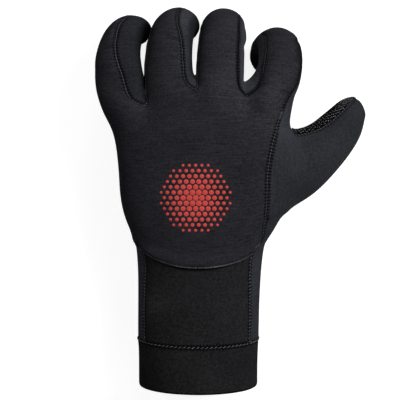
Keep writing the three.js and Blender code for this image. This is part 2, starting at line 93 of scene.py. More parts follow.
def swollen_line(a, b, count, bulge):
    """count points from a towards b, moved by the bulge times the parabola 4t(1 - t)."""
    t = (np.arange(count) / count)[:, None]
    return a + (b - a) * t + bulge * 4 * t * (1 - t)


CAP_CELL = (4.2, 4.2)          # width and length of a fingertip's cell, for the knit's scale
TIP_RISE = 4                   # how far a cap swells beyond its ring


class Cage:
    """Points, four-sided cells, and each cell's panel and place in the knit."""

    def __init__(self):
        self.points = np.zeros((0, 3))
        self.cells = np.zeros((0, 4), int)
        self.panels = np.zeros(0, int)
        self.knit = np.zeros((0, 4, 2))

    def add_points(self, new):
        """Adds an array of points and returns their numbers, laid out as the array is."""
        first = len(self.points)
        self.points = np.concatenate([self.points, new.reshape(-1, 3)])
        return first + np.arange(new.size // 3).reshape(new.shape[:-1])

    def add_grid(self, ids, panels, cell_size, flip=False):
        """Joins rows of point numbers into cells. panels names each cell's panel, or HOLE."""
        rows, cols = panels.shape
        cells = np.stack([ids[:-1, :-1], ids[:-1, 1:], ids[1:, 1:], ids[1:, :-1]], axis=-1)
        row, col = np.mgrid[0:rows, 0:cols]
        col4 = np.stack([col, col + 1, col + 1, col], axis=-1) * cell_size[0]
        row4 = np.stack([row, row, row + 1, row + 1], axis=-1) * cell_size[1]
        knit = np.stack([col4, row4], axis=-1)
        keep = panels != HOLE
        step = -1 if flip else 1
        self.cells = np.concatenate([self.cells, cells[keep][:, ::step]])
        self.knit = np.concatenate([self.knit, knit[keep][:, ::step]])
        self.panels = np.concatenate([self.panels, panels[keep]])

    def add_cap(self, ring, across, down, end, panels, flip=False):
        """Closes a ring with a blended patch: what the two pairs of sides give, less the corners, and
        raised along end by the root of the two parabolas 1 - (2t - 1)^2."""
        sides = self.points[ring]
        top = sides[:across + 1]
        right = sides[across:across + down + 1]
        bottom = sides[across + down:2 * across + down + 1][::-1]
        left = np.concatenate([sides[2 * across + down:], sides[:1]])[::-1]
        a = (np.arange(across + 1) / across)[None, :, None]
        b = (np.arange(down + 1) / down)[:, None, None]
        patch = (1 - b) * top[None] + b * bottom[None] + (1 - a) * left[:, None] + a * right[:, None]
        patch = patch - (1 - a) * (1 - b) * top[0] - a * (1 - b) * top[-1]
        patch = patch - (1 - a) * b * bottom[0] - a * b * bottom[-1]
        swell = np.sqrt(np.clip((1 - (2 * a - 1) ** 2) * (1 - (2 * b - 1) ** 2), 0, None))
        patch = patch + TIP_RISE * swell * end
        ids = np.zeros((down + 1, across + 1), int)
        ids[0] = ring[:across + 1]
        ids[:, -1] = ring[across:across + down + 1]
        ids[-1] = ring[across + down:2 * across + down + 1][::-1]
        ids[:, 0] = np.concatenate([ring[2 * across + down:], ring[:1]])[::-1]
        ids[1:-1, 1:-1] = self.add_points(patch[1:-1, 1:-1])
        self.add_grid(ids, panels, CAP_CELL, flip)


cage = Cage()

# %% [markdown]
# ## Hand, wrist and cuff
# The hand is a stack of closed sections. Drawn outlines would need a list of points for every row, so
# each section is a superellipse instead: sine and cosine raised to a power, because a hand in a glove
# is flatter than an ellipse. The sections dip in the middle of the back near the wrist, so the lower
# edge of the back panel comes out as the arc that the lap has. The last row is the line round the
# four finger roots, which dips at the webs.

# %% Sections of the hand, and where the fingers part
# Sections of the cuff, wrist and hand. dip and drop lower a row into the arc of the lap, and square
# is the section's exponent. The seams are bearings: 0 at the back of the hand, 90 at the thumb.
# z, dip, drop, left, right, back, palm, square, long seam, back seam
HAND = np.array([
    [0.0, 0.0, 0.0, -39.4, 39.6, -30.0, 29.0, 1.95, 55, -62],
    [15.5, 0.0, 0.0, -39.5, 39.6, -30.0, 29.0, 1.95, 55, -62],
    [31.5, 0.0, 0.0, -39.6, 39.8, -29.5, 28.5, 2.00, 55, -62],
    [49.0, 2.0, 0.0, -39.6, 40.1, -28.5, 28.0, 2.10, 54, -62],
    [68.5, 7.5, 0.3, -39.6, 40.8, -28.0, 27.5, 2.10, 53, -61],
    [88.5, 13.5, -4.5, -39.8, 43.2, -27.2, 27.0, 2.15, 46, -57],
    [97.2, 12.8, 1.0, -41.4, 44.6, -27.0, 27.0, 2.20, 62, -67],
    [105.0, 9.0, 0.6, -45.4, 50.4, -26.5, 27.0, 2.25, 54, -66],
    [113.0, 5.0, 0.3, -48.4, 54.8, -26.0, 27.0, 2.30, 45, -66],
    [122.0, 2.5, 0.0, -50.4, 56.6, -25.5, 27.0, 2.35, 44, -66],
    [131.5, 1.0, 0.0, -51.5, 58.0, -25.0, 26.5, 2.40, 42, -66],
    [141.0, 0.5, 0.0, -51.8, 58.0, -24.5, 26.0, 2.40, 42, -66],
    [151.0, 0.0, 0.0, -52.8, 58.0, -24.0, 25.0, 2.45, 44, -66],
    [161.0, 0.0, 0.0, -54.0, 58.2, -23.5, 24.0, 2.50, 47, -66],
    [171.0, 0.0, 0.0, -56.2, 58.4, -22.5, 22.5, 2.50, 52, -66],
    [181.0, 0.0, 0.0, -59.2, 59.4, -21.0, 20.5, 2.50, 56, -66],
])
MIDDLE_BEARING, PALM_BEARING, OUTER_BEARING = -2, 118, 258
ARC_FALL = 1.8                 # the lap's arc falls as its bearing to this power
TOP_ROW = len(HAND)
TOP_BLEND, TOP_STEP = 0.45, 10 # the last section's share of the root line's form, and how far below

# Where the fingers part: on the back, at the saddle between them, in the palm.
WEBS = np.array([
    [[-33.3, -12.5, 185.0], [-31.8, 0.5, 195.5], [-33.0, 14.0, 195.0]],
    [[-1.6, -15.5, 197.5], [-0.4, 0.0, 202.5], [-1.5, 14.0, 197.0]],
    [[30.6, -14.5, 193.0], [29.0, 0.0, 200.0], [30.0, 13.5, 193.0]],
])
# The outer corners of the finger roots, on the back and in the palm, and the swelling between them.
ROOT_LEFT = np.array([[-61.8, -9.0, 188.0], [-60.5, 10.0, 190.0], [-3.5, 0.0, 0.0]])
ROOT_RIGHT = np.array([[55.5, -12.0, 189.0], [58.5, 11.0, 192.0], [5.0, 0.0, 0.0]])
# How each finger's root swells between its webs, on the back and in the palm.
KNUCKLES = np.array([
    [[-1.0, -6.5, 1.0], [0.0, 5.5, 0.0]],
    [[0.0, -5.5, 1.5], [0.0, 5.0, 0.0]],
    [[0.0, -5.0, 2.0], [0.0, 5.0, 0.0]],
    [[1.5, -7.0, 1.0], [0.0, 5.5, 0.0]],
])
HAND_CELL = (6.3, 11.0)        # about how wide and how long a cell is, for the knit's scale
print("the hand's sections:", len(HAND), "rows of", COLS, "columns")

# %% Rows of the hand and the line round the finger roots
def hand_rings():
    """x = middle + sin(b)^(2/q) half width, y = cos(b)^(2/q) depth, z = row height less its sag."""
    column = np.arange(COLS)
    knots = [0, FACE_COLS, 2 * FACE_COLS, 3 * FACE_COLS, LONG_SEAM, PALM_EDGE, OUTER_SEAM, COLS]
    z, dip, drop, left, right, back, palm, square, long_seam, back_seam = HAND.T[:, :, None]
    bearing = np.radians(np.stack([
        np.interp(column, knots, [outer, outer / 2, MIDDLE_BEARING, inner / 2, inner, PALM_BEARING,
                                  OUTER_BEARING, 360 + outer])
        for inner, outer in zip(long_seam[:, 0], back_seam[:, 0])]))
    sin = np.sign(np.sin(bearing)) * np.abs(np.sin(bearing)) ** (2 / square)
    cos = np.sign(np.cos(bearing)) * np.abs(np.cos(bearing)) ** (2 / square)
    x = (left + right) / 2 + sin * (right - left) / 2
    y = np.where(cos > 0, cos * back, -cos * palm)
    u = np.minimum(column / (2 * FACE_COLS) - 1, 1)
    sag = dip * (1 - np.abs(u) ** ARC_FALL)
    sag = sag + drop * np.interp(column, [0, LONG_SEAM, OUTER_SEAM, COLS], [0, 1, 0, 0])
    return np.stack([x, y, z - sag], axis=-1)


def root_ring():
    """The four backs, the thumb side, the four palms and the little finger's side, one after another."""
    back = np.stack([ROOT_LEFT[0], *WEBS[:, 0], ROOT_RIGHT[0]])
    palm = np.stack([ROOT_RIGHT[1], *WEBS[::-1, 2], ROOT_LEFT[1]])
    over_back = [swollen_line(back[k], back[k + 1], FACE_COLS, KNUCKLES[k, 0]) for k in range(FINGERS)]
    over_palm = [swollen_line(palm[k], palm[k + 1], FACE_COLS, KNUCKLES[k, 1]) for k in range(FINGERS)]
    thumb_side = swollen_line(ROOT_RIGHT[0], ROOT_RIGHT[1], SIDE_COLS, ROOT_RIGHT[2])
    outer_side = swollen_line(ROOT_LEFT[1], ROOT_LEFT[0], SIDE_COLS, ROOT_LEFT[2])
    return np.concatenate([*over_back, thumb_side, *over_palm, outer_side])


rings = np.concatenate([hand_rings(), root_ring()[None]])
rings[TOP_ROW - 1] += TOP_BLEND * (rings[TOP_ROW] - [0, 0, TOP_STEP] - rings[TOP_ROW - 1])
row, col = np.mgrid[0:TOP_ROW + 1, 0:COLS]
inside = (row > THUMB_LOW) & (row < THUMB_HIGH) & (col > LONG_SEAM) & (col < LONG_SEAM + THUMB_COLS)
hand_ids = np.full(row.shape, HOLE)
hand_ids[~inside] = cage.add_points(rings[~inside])
row, col = np.mgrid[0:TOP_ROW, 0:COLS]
opening = (row >= THUMB_LOW) & (row < THUMB_HIGH) & (col >= LONG_SEAM) & (col < LONG_SEAM + THUMB_COLS)
hand_panels = np.select(
    [opening, row < CUFF_ROW, (col >= LONG_SEAM) & (col < PALM_EDGE),
     (col >= PALM_EDGE) & (col < OUTER_SEAM), row >= LAP_ROW, col >= OUTER_SEAM],
    [HOLE, CUFF, THUMB_PANEL, PALM, BACK, PALM], WRIST)
cage.add_grid(np.concatenate([hand_ids, hand_ids[:, :1]], axis=1), hand_panels, HAND_CELL)
print("hand cells:", len(cage.cells))

# %% [markdown]
# ## Fingers and thumb
# Each finger is a tube along a middle line that leans sideways and bends twice towards the palm, as
# the cut of a pre-curved glove makes it. The line is the sum of short straight steps whose angle
# rises smoothly at each bend. The thumb is wider than deep, so its sections are given by their two
# edges. A ring of cells bridges from the opening in the hand to the first free section. Curves with a
# bevel would make such tubes too, but they couldn't share their points with the hand.

# %% Sizes of the fingers
# Middle lines of the fingers: root, lean, flex, turn, the place and the angle of two bends, length.
FINGER_LINES = [
    ([-49.8, -0.5, 187.5], -7.8, 10, 21, 33.6, 56, 56.6, 34, 76.5),
    ([-19.3, -1.0, 192.0], -2.3, 10, 14, 33.0, 55, 56.0, 36, 77),
    ([13.2, -1.0, 192.5], 2.5, 10, 3, 32.0, 55, 56.0, 32, 75),
    ([48.4, -1.0, 191.3], 17.0, 14, -13, 25.0, 60, 46.2, 62, 68.2),
]
# Half sizes at root and tip, then the bearings of the seams: back left, back right at the root and
# at the tip, palm right, palm left.
FINGER_SECTIONS = [
    (18.2, 13.5, 11.2, 10.0, -88, 12, -18, 120, 235),
    (17.0, 15.0, 13.2, 11.8, -80, 38, 0, 130, 225),
    (16.5, 14.5, 13.8, 11.5, -80, 48, 48, 130, 225),
    (15.4, 15.5, 13.4, 13.2, -54, 70, 70, 125, 228),
]
BEND_REACH = (16, 12)          # each bend is spread this far before and after its middle
LINE_STEPS = 120               # short straight steps that add up to the bent line
FIRST_RING, FREE_RINGS, LAST_RING = 15, 7, 12    # full rings, from here to this far before the end
TIP_BACK, TIP_SCALE = (5, -1), (0.92, 0.7)       # two narrower rings at the end
# Where along each finger its right seam turns from the root's bearing to the tip's.
SEAM_TURNS = [(0.1, 0.45), (0.35, 0.6), (0.35, 0.6), (0.35, 0.6)]
# Where the ring between hand and finger stands, as shares of the way in x, y and z, and where beside a
# web, so that the seam turns in a U.
BRIDGE = np.array([0.65, 0.5, 0.45])
WEB_BRIDGE = np.array([0.85, 0.45, 0.08])
FINGER_CELL = (5.2, 8.0)
print("bends of the fingers, degrees:", [line[5] + line[7] for line in FINGER_LINES])

# %% The fingers' middle lines, sections and caps
def finger_frame(line, s):
    """Points, directions, backs and sides at the distances s, from the midpoint sum of the angle."""
    root, lean, flex, turn, at1, bend1, at2, bend2, _ = line
    lean, turn = math.radians(lean), math.radians(turn)
    up = np.array([math.sin(lean), 0, math.cos(lean)])
    curl = np.array([math.sin(turn) * math.cos(lean), math.cos(turn), -math.sin(turn) * math.sin(lean)])

    def bent(d):
        first = bend1 * rise(at1 - BEND_REACH[0], at1 + BEND_REACH[0], d)
        return np.radians(flex + first + bend2 * rise(at2 - BEND_REACH[1], at2 + BEND_REACH[1], d))

    s = np.asarray(s, float)[:, None]
    angle = bent(s * (np.arange(LINE_STEPS) + 0.5) / LINE_STEPS)
    step = s / LINE_STEPS
    point = root + (np.cos(angle) * step).sum(1)[:, None] * up + (np.sin(angle) * step).sum(1)[:, None] * curl
    angle = bent(s)
    ahead = np.cos(angle) * up + np.sin(angle) * curl
    back = np.sin(angle) * up - np.cos(angle) * curl
    return point, ahead, back, np.cross(ahead, back)


def finger_rings(line, section, seam_turn):
    """Ellipses across the middle line, whose points stand at the bearings of the seams."""
    width0, depth0, width1, depth1, back_left, back_right, tip_right, palm_right, palm_left = section
    length, turn = line[8], line[3]
    free = np.linspace(FIRST_RING, length - LAST_RING, FREE_RINGS)
    s = np.concatenate([free, length - np.array(TIP_BACK)])
    scale = np.concatenate([np.ones(FREE_RINGS), TIP_SCALE])
    point, _, back, side = finger_frame(line, s)
    t = np.minimum(s / length, 1)
    width = scale * (width0 + (width1 - width0) * t)
    depth = scale * (depth0 + (depth1 - depth0) * t)
    right = back_right + (tip_right - back_right) * rise(*seam_turn, t)
    columns = np.arange(2 * (FACE_COLS + SIDE_COLS))
    knots = [0, FACE_COLS, FACE_COLS + SIDE_COLS, 2 * FACE_COLS + SIDE_COLS, len(columns)]
    bearing = np.radians(turn + np.stack([
        np.interp(columns, knots, [back_left, r, palm_right, palm_left, back_left + 360])
        for r in right]))
    across = (width[:, None] * np.sin(bearing))[..., None] * side[:, None]
    through = (depth[:, None] * np.cos(bearing))[..., None] * back[:, None]
    return point[:, None] + across + through


def add_tube(base, tube, panel_of_column, cell_size, flip=False, web_columns=()):
    """A bridge ring between the opening and the tube, and the tube's own rings. Returns the last."""
    share = np.tile(BRIDGE, (len(base), 1))
    share[list(web_columns)] = WEB_BRIDGE
    start = cage.points[base]
    bridge = start + (tube[0] - start) * share
    ids = np.concatenate([base[None], cage.add_points(np.concatenate([bridge[None], tube]))])
    panels = np.tile(panel_of_column, (len(ids) - 1, 1))
    cage.add_grid(np.concatenate([ids, ids[:, :1]], axis=1), panels, cell_size, flip)
    return ids[-1]


t = np.arange(1, SIDE_COLS)[:, None] / SIDE_COLS
web_ids = [cage.add_points(back * (1 - t) * (1 - 2 * t) + saddle * 4 * t * (1 - t) + palm * t * (2 * t - 1))
           for back, saddle, palm in WEBS]
root = hand_ids[TOP_ROW]
SIDES = [BACK, LITTLE_RING, RING_MIDDLE, MIDDLE_INDEX, THUMB_PANEL]
for k, (line, section, seam_turn) in enumerate(zip(FINGER_LINES, FINGER_SECTIONS, SEAM_TURNS)):
    left = root[OUTER_SEAM + 1:] if k == 0 else web_ids[k - 1][::-1]
    right = root[LONG_SEAM + 1:PALM_EDGE] if k == FINGERS - 1 else web_ids[k]
    first_palm = OUTER_SEAM - (k + 1) * FACE_COLS
    base = np.concatenate([root[k * FACE_COLS:(k + 1) * FACE_COLS + 1], right,
                           root[first_palm:first_palm + FACE_COLS + 1], left])
    column_panels = np.repeat([BACK, SIDES[k + 1], PALM, SIDES[k]],
                              [FACE_COLS, SIDE_COLS, FACE_COLS, SIDE_COLS])
    webs_beside = ([0] if k > 0 else []) + ([FACE_COLS] if k < FINGERS - 1 else [])
    tip = add_tube(base, finger_rings(line, section, seam_turn), column_panels, FINGER_CELL,
                   web_columns=webs_beside)
    end = finger_frame(line, [line[8]])[1][0]
    cage.add_cap(tip, FACE_COLS, SIDE_COLS, end, np.full((SIDE_COLS, FACE_COLS), BACK))
print("with the fingers:", len(cage.cells))

# %% The thumb
# The thumb's sections: inner x and z, outer x and z, y of the middle line, half depth.
THUMB = np.array([
    [60.3, 168.2, 59.7, 118.0, 3.0, 20.0],
    [68.2, 169.5, 73.0, 124.5, 5.5, 18.0],
    [75.3, 172.6, 84.0, 134.5, 8.0, 16.6],
    [81.2, 177.6, 92.4, 144.0, 10.5, 15.5],
    [87.0, 181.8, 99.6, 153.2, 13.5, 14.5],
    [92.6, 186.2, 105.2, 162.4, 17.0, 13.0],
    [97.6, 188.0, 107.8, 172.0, 20.0, 10.0],
])
THUMB_SEAMS = (4, 14)          # columns between which the thumb belongs to the palm panel
# Some columns of the thumb, and their bearings at its root and at its tip.
THUMB_BEARINGS = np.array([[4, 64, 43], [14, 248, 248], [18, 308, 308], [24, 390, 390], [28, 424, 403]])
THUMB_SEAM_TURN = (0.1, 0.55)  # between these shares of its length one bearing turns to the other
THUMB_CELL = (4.6, 8.5)


def thumb_rings():
    """middle + sin(b) half width + cos(b) half depth, square to the line through the middles."""
    inner = THUMB[:, [0, 4, 1]]
    outer = THUMB[:, [2, 4, 3]]
    middle = (inner + outer) / 2
    up = (inner - outer) / 2
    side = unit(up)
    ahead = np.concatenate([middle[1:], middle[-1:]]) - np.concatenate([middle[:1], middle[:-1]])
    ahead = unit(ahead - (ahead * side).sum(1, keepdims=True) * side)
    back = np.cross(ahead, side) * THUMB[:, 5:]
    count = 2 * (THUMB_COLS + THUMB_HIGH - THUMB_LOW)
    column = np.arange(count)
    column = np.where(column < THUMB_SEAMS[0], column + count, column)
    at_root, at_tip = (np.interp(column, THUMB_BEARINGS[:, 0], b) for b in THUMB_BEARINGS.T[1:])
    share = rise(*THUMB_SEAM_TURN, np.arange(len(THUMB)) / (len(THUMB) - 1))[:, None, None]
    bearing = np.radians(at_root[None, :, None] * (1 - share) + at_tip[None, :, None] * share)
    return middle[:, None] + np.sin(bearing) * up[:, None] + np.cos(bearing) * back[:, None], ahead[-1]


far = LONG_SEAM + THUMB_COLS
down = THUMB_HIGH - THUMB_LOW
base = np.concatenate([
    hand_ids[THUMB_HIGH, LONG_SEAM:far], hand_ids[THUMB_HIGH:THUMB_LOW:-1, far],
    hand_ids[THUMB_LOW, far:LONG_SEAM:-1], hand_ids[THUMB_LOW:THUMB_HIGH, LONG_SEAM]])
tube, end = thumb_rings()
column = np.arange(len(base))
column_panels = np.where((column >= THUMB_SEAMS[0]) & (column < THUMB_SEAMS[1]), PALM, THUMB_PANEL)
tip = add_tube(base, tube, column_panels, THUMB_CELL, flip=True)
cap_panels = np.where(np.arange(THUMB_COLS) >= THUMB_SEAMS[0], PALM, THUMB_PANEL)
cage.add_cap(tip, THUMB_COLS, down, end, np.tile(cap_panels, (down, 1)), flip=True)
print("cage:", len(cage.points), "points,", len(cage.cells), "cells")

# %% [markdown]
# ## Smoothing the cage
# A Subdivision Surface modifier would round the cage, but the seams then have to be found again in
# its result. Written out in numpy, the modifier's own rule also carries the panel numbers, the
# place in the knit and the seam lines from one level to the next. Three levels make cells of about a
# millimetre. At the end each point moves to its place on the limit surface, where the CAD points are.

# %% The smoothing rule as whole arrays
LEVELS = 3


def gather(index, values, count):
    """Sum of the rows of values that share an index."""
    return np.stack([np.bincount(index, column, count) for column in values.T], axis=1)


def cell_edges(cells):
    """Each cell side as a sorted pair, the distinct ones, and which distinct one each side is."""
    pairs = np.sort(np.stack([cells, np.roll(cells, -1, axis=1)], axis=-1).reshape(-1, 2), axis=1)
    edges, which = np.unique(pairs, axis=0, return_inverse=True)
    return edges, which.reshape(cells.shape)


def refine(points, cells, knit, lines):
    """New point = (mean of cells + 2 mean of edge middles + (n - 3) point) / n, edge point = mean of
    its ends and its two cells. Each cell becomes four, and each seam line gets its edge points."""
    count = len(points)
    centres = points[cells].mean(axis=1)
    edges, which = cell_edges(cells)
    used = np.bincount(which.ravel(), minlength=len(edges))
    middles = points[edges].mean(axis=1)
    beside = gather(which.ravel(), np.repeat(centres, 4, axis=0), len(edges))
    edge_points = np.where((used == 2)[:, None], (2 * middles + beside) / 4, middles)
    n = np.bincount(edges.ravel(), minlength=count)[:, None]
    mean_middle = gather(edges.ravel(), np.repeat(middles, 2, axis=0), count) / n
    around = np.bincount(cells.ravel(), minlength=count)[:, None]
    mean_cell = gather(cells.ravel(), np.repeat(centres, 4, axis=0), count) / around
    moved = (mean_cell + 2 * mean_middle + (n - 3) * points) / n
    rim = edges[used == 1]
    rim_sum = gather(rim.ravel(), np.repeat(middles[used == 1], 2, axis=0), count)
    on_rim = np.bincount(rim.ravel(), minlength=count) > 0
    moved[on_rim] = points[on_rim] / 2 + rim_sum[on_rim] / 4
    side = count + which
    middle = np.repeat(count + len(edges) + np.arange(len(cells))[:, None], 4, axis=1)
    parts = np.stack([cells, side, middle, np.roll(side, 1, axis=1)], axis=-1).reshape(-1, 4)
    half = (knit + np.roll(knit, -1, axis=1)) / 2
    mid = np.repeat(knit.mean(axis=1, keepdims=True), 4, axis=1)
    knit = np.stack([knit, half, mid, np.roll(half, 1, axis=1)], axis=2).reshape(-1, 4, 2)
    keys = edges[:, 0] * count + edges[:, 1]
    finer = []
    for ids in lines:
        pair = np.sort(np.stack([ids[:-1], ids[1:]], axis=1), axis=1)
        between = count + np.searchsorted(keys, pair[:, 0] * count + pair[:, 1])
        longer = np.empty(2 * len(ids) - 1, int)
        longer[0::2] = ids
        longer[1::2] = between
        finer.append(longer)
    return np.concatenate([moved, edge_points, centres]), parts, knit, finer


def limit(points, cells):
    """Limit place of each point: (n^2 point + 4 neighbours + far corners) / n(n + 5), and on the
    open rim (4 point + its two rim neighbours) / 6."""
    count = len(points)
    ends = points[np.roll(cells, -1, axis=1)] + points[np.roll(cells, 1, axis=1)]
    corners = points[np.roll(cells, 2, axis=1)]
    n = np.bincount(cells.ravel(), minlength=count)[:, None]
    edge_sum = gather(cells.ravel(), ends.reshape(-1, 3), count)
    corner_sum = gather(cells.ravel(), corners.reshape(-1, 3), count)
    smooth = (n * n * points + 2 * edge_sum + corner_sum) / (n * (n + 5))
    edges, which = cell_edges(cells)
    rim = edges[np.bincount(which.ravel(), minlength=len(edges)) == 1]
    rim_sum = gather(rim.ravel(), points[rim[:, ::-1]].reshape(-1, 3), count)
    on_rim = np.bincount(rim.ravel(), minlength=count) > 0
    smooth[on_rim] = (4 * points[on_rim] + rim_sum[on_rim]) / 6
    return smooth


# %% [markdown]
# ## Seam lines
# A seam of the glove is a line of cage edges with one panel on each side. It could be marked by hand
# in Edit Mode, but the cells' panel numbers already say where it runs: the edges are sorted by the two
# panels beside them, and each lot is put in order, end to end. The lap lies on top of the wrist panel
# and has no groove, so its line is simply a row of the hand.

# %% Find the seam lines of the cage
def chains(edges):
    """Orders loose edges into lines: each starts at an open end, or anywhere on a closed loop."""
    beside = {}
    for a, b in edges:
        beside.setdefault(a, []).append(b)
        beside.setdefault(b, []).append(a)
    lines = []
    while beside:
        start = next((v for v, near in beside.items() if len(near) == 1), next(iter(beside)))
        line = [start]
        while beside.get(line[-1]):
            here = line[-1]
            there = beside[here].pop()
            beside[there].remove(here)
            line.append(there)
            if not beside[here]:
                del beside[here]
        beside = {v: near for v, near in beside.items() if near}
        lines.append(np.array(line))
    return lines


edges, which = cell_edges(cage.cells)
low_panel = np.full(len(edges), len(PANELS))
high_panel = np.full(len(edges), HOLE)
np.minimum.at(low_panel, which.ravel(), np.repeat(cage.panels, 4))
np.maximum.at(high_panel, which.ravel(), np.repeat(cage.panels, 4))
lap_ids = hand_ids[LAP_ROW, np.r_[OUTER_SEAM:COLS, 0:LONG_SEAM + 1]]
on_lap = np.isin(edges, lap_ids).all(axis=1)
seam_lines, seam_pairs = [lap_ids], [(BACK, WRIST)]
for low, high in sorted(set(zip(low_panel.tolist(), high_panel.tolist()))):
    chosen = edges[(low_panel == low) & (high_panel == high) & ~on_lap]
    found = chains(chosen.tolist()) if low != high else []
    seam_lines += found
    seam_pairs += [(low, high)] * len(found)
print("seam lines:", len(seam_lines))

# %% Refine the skin, and lay the hand palm down as the solids lie
coarse = limit(cage.points, cage.cells)
points, cells, knit, seams = cage.points, cage.cells, cage.knit, seam_lines
point_count = [len(points)]
for _ in range(LEVELS):
    points, cells, knit, seams = refine(points, cells, knit, seams)
    point_count.append(len(points))
panels = np.repeat(cage.panels, 4 ** LEVELS)


def tilted(p):
    """Hand frame to row frame: x stays, y and z turn about x by the tilt and swap their roles."""
    return np.stack([p[:, 0], p[:, 2] * math.cos(TILT) + p[:, 1] * math.sin(TILT),
                     p[:, 2] * math.sin(TILT) - p[:, 1] * math.cos(TILT)], axis=1)


solid_points = tilted(coarse)
ground = solid_points[:, 2].min() + PRESS
middle = (solid_points.min(axis=0) + solid_points.max(axis=0)) / 2
shift = np.array([middle[0], middle[1], ground])
skin = tilted(limit(points, cells)) - shift
skin[:, 2] = np.maximum(skin[:, 2], 0)
print("skin:", len(skin), "points,", len(cells), "cells, box", skin.min(0).round(2), skin.max(0).round(2))

# %% [markdown]
# ## Relief of the skin
# Neoprene lies in broad, soft waves and draws in beside its seams. All relief is a height along the
# skin's normal, as a function of the distance from the nearest seam and of the place on the hand. The
# distance is found by letting it spread from the seams over the cell edges, a step at a time.
# Sculpting or a Displace modifier could raise such folds too, but neither knows where the seams are.

# %% Normals, and distances that spread from the seams
def skin_normals(p):
    """Mean of the normals of the cells round each point: the cross product of a cell's diagonals."""
    across = np.cross(p[cells[:, 2]] - p[cells[:, 0]], p[cells[:, 3]] - p[cells[:, 1]])
    return unit(gather(cells.ravel(), np.repeat(across, 4, axis=0), len(p)))


normals = skin_normals(skin)
edges, which = cell_edges(cells)
edge_length = np.linalg.norm(skin[edges[:, 0]] - skin[edges[:, 1]], axis=1)
both_from = np.concatenate([edges[:, 0], edges[:, 1]])
both_to = np.concatenate([edges[:, 1], edges[:, 0]])
both_length = np.concatenate([edge_length, edge_length])
FAR = 40.0                     # distances are followed no further than this
SEAM_STEPS, CUFF_STEPS = 14, 8 # how many cells a distance spreads over


def spread(seeds, value, steps):
    """Distance from the seeds over the cell edges, up to FAR, and the value of the nearest seed."""
    distance = np.full(len(skin), FAR)
    carried = np.zeros(len(skin))
    distance[seeds] = 0
    carried[seeds] = value
    for _ in range(steps):
        offer = distance[both_from] + both_length
        np.minimum.at(distance, both_to, offer)
        taken = (offer <= distance[both_to] + 1e-9) & (offer < FAR)
        carried[both_to[taken]] = carried[both_from[taken]]
    return distance, carried


def run_along(ids):
    """Length of a seam line from its start to each of its points."""
    return np.concatenate([[0], np.cumsum(np.linalg.norm(np.diff(skin[ids], axis=0), axis=1))])


lap_line = seams[0]
sewn_lines = seams[1:]
runs = [run_along(ids) for ids in sewn_lines]
seam_distance, seam_run = spread(np.concatenate(sewn_lines), np.concatenate(runs), SEAM_STEPS)
seam_numbers = [np.full(len(ids), k) for k, ids in enumerate(sewn_lines)]
_, nearest_seam = spread(np.concatenate(sewn_lines), np.concatenate(seam_numbers), SEAM_STEPS)
lap_distance, _ = spread(lap_line, run_along(lap_line), SEAM_STEPS)
cuff_lines = [ids for ids, pair in zip(seams, seam_pairs) if CUFF in pair]
cuff_distance, _ = spread(np.concatenate(cuff_lines), 0, CUFF_STEPS)
print("sewn seams:", round(sum(run[-1] for run in runs) / 1000, 2), "m")

# %% Waves, drawn-in seams and folds
WAVE_SEED = 7
WAVE_SPREAD = (0.7, 1.4)       # a wave is this many times as dense as asked, at least and at most
UNDERSIDE = (-0.6, 0.0)        # the folds fade out where the normal turns this far below level
rng = np.random.default_rng(WAVE_SEED)


def waves(p, wavelength, count=6):
    """Mean of plane sine waves in random directions, near the given wavelength. Between -1 and 1."""
    direction = unit(rng.normal(size=(count, 3))) * 2 * math.pi / wavelength
    direction *= rng.uniform(*WAVE_SPREAD, size=(count, 1))
    phase = rng.uniform(0, 2 * math.pi, size=count)
    return np.sin(p @ direction.T + phase).mean(axis=1)


def hump(distance, width):
    """The bell curve exp(-(d / width)^2)."""
    return np.exp(-(distance / width) ** 2)


def ridge(p, start, end, width, height):
    """A soft fold along the straight line from start to end, in x and y, not on the under side."""
    start, end = np.array(start, float), np.array(end, float)
    along = end - start
    t = np.clip(((p[:, :2] - start) @ along) / (along @ along), 0, 1)
    away = np.linalg.norm(p[:, :2] - start - t[:, None] * along, axis=1)
    return height * hump(away, width) * rise(*UNDERSIDE, normals[:, 2])


# Start and end of each fold in x and y as the glove lies, its width, and its height, below 0 for a
# crease.
FOLDS = [
    ((37.5, 45.0), (34.5, 24.0), 6.5, 0.9),
    ((44.5, 40.0), (42.0, 22.0), 4.5, -0.45),
    ((-73.0, 114.0), (-78.0, 108.0), 2.4, 0.7),
    ((-69.5, 113.0), (-75.5, 105.0), 1.9, -0.8),
    ((-72.0, 104.5), (-66.0, 102.0), 2.4, -0.6),
    ((-84.5, 90.0), (-78.0, 88.0), 5.0, 0.5),
    ((9.0, 118.0), (10.5, 113.0), 4.0, -0.5),
    ((11.0, 107.5), (10.5, 104.5), 3.8, 1.2),
    ((10.0, 99.5), (8.0, 99.0), 2.2, -0.5),
    ((40.0, 107.0), (42.0, 105.0), 2.0, 0.5),
    ((43.0, 102.5), (41.0, 101.5), 1.8, -0.35),
    ((82.0, 64.0), (80.0, 66.5), 2.0, 0.9),
    ((-40.0, 4.0), (-34.0, -18.0), 9.0, 0.35),
    ((9.0, -34.0), (16.0, -2.0), 8.0, 0.35),
]
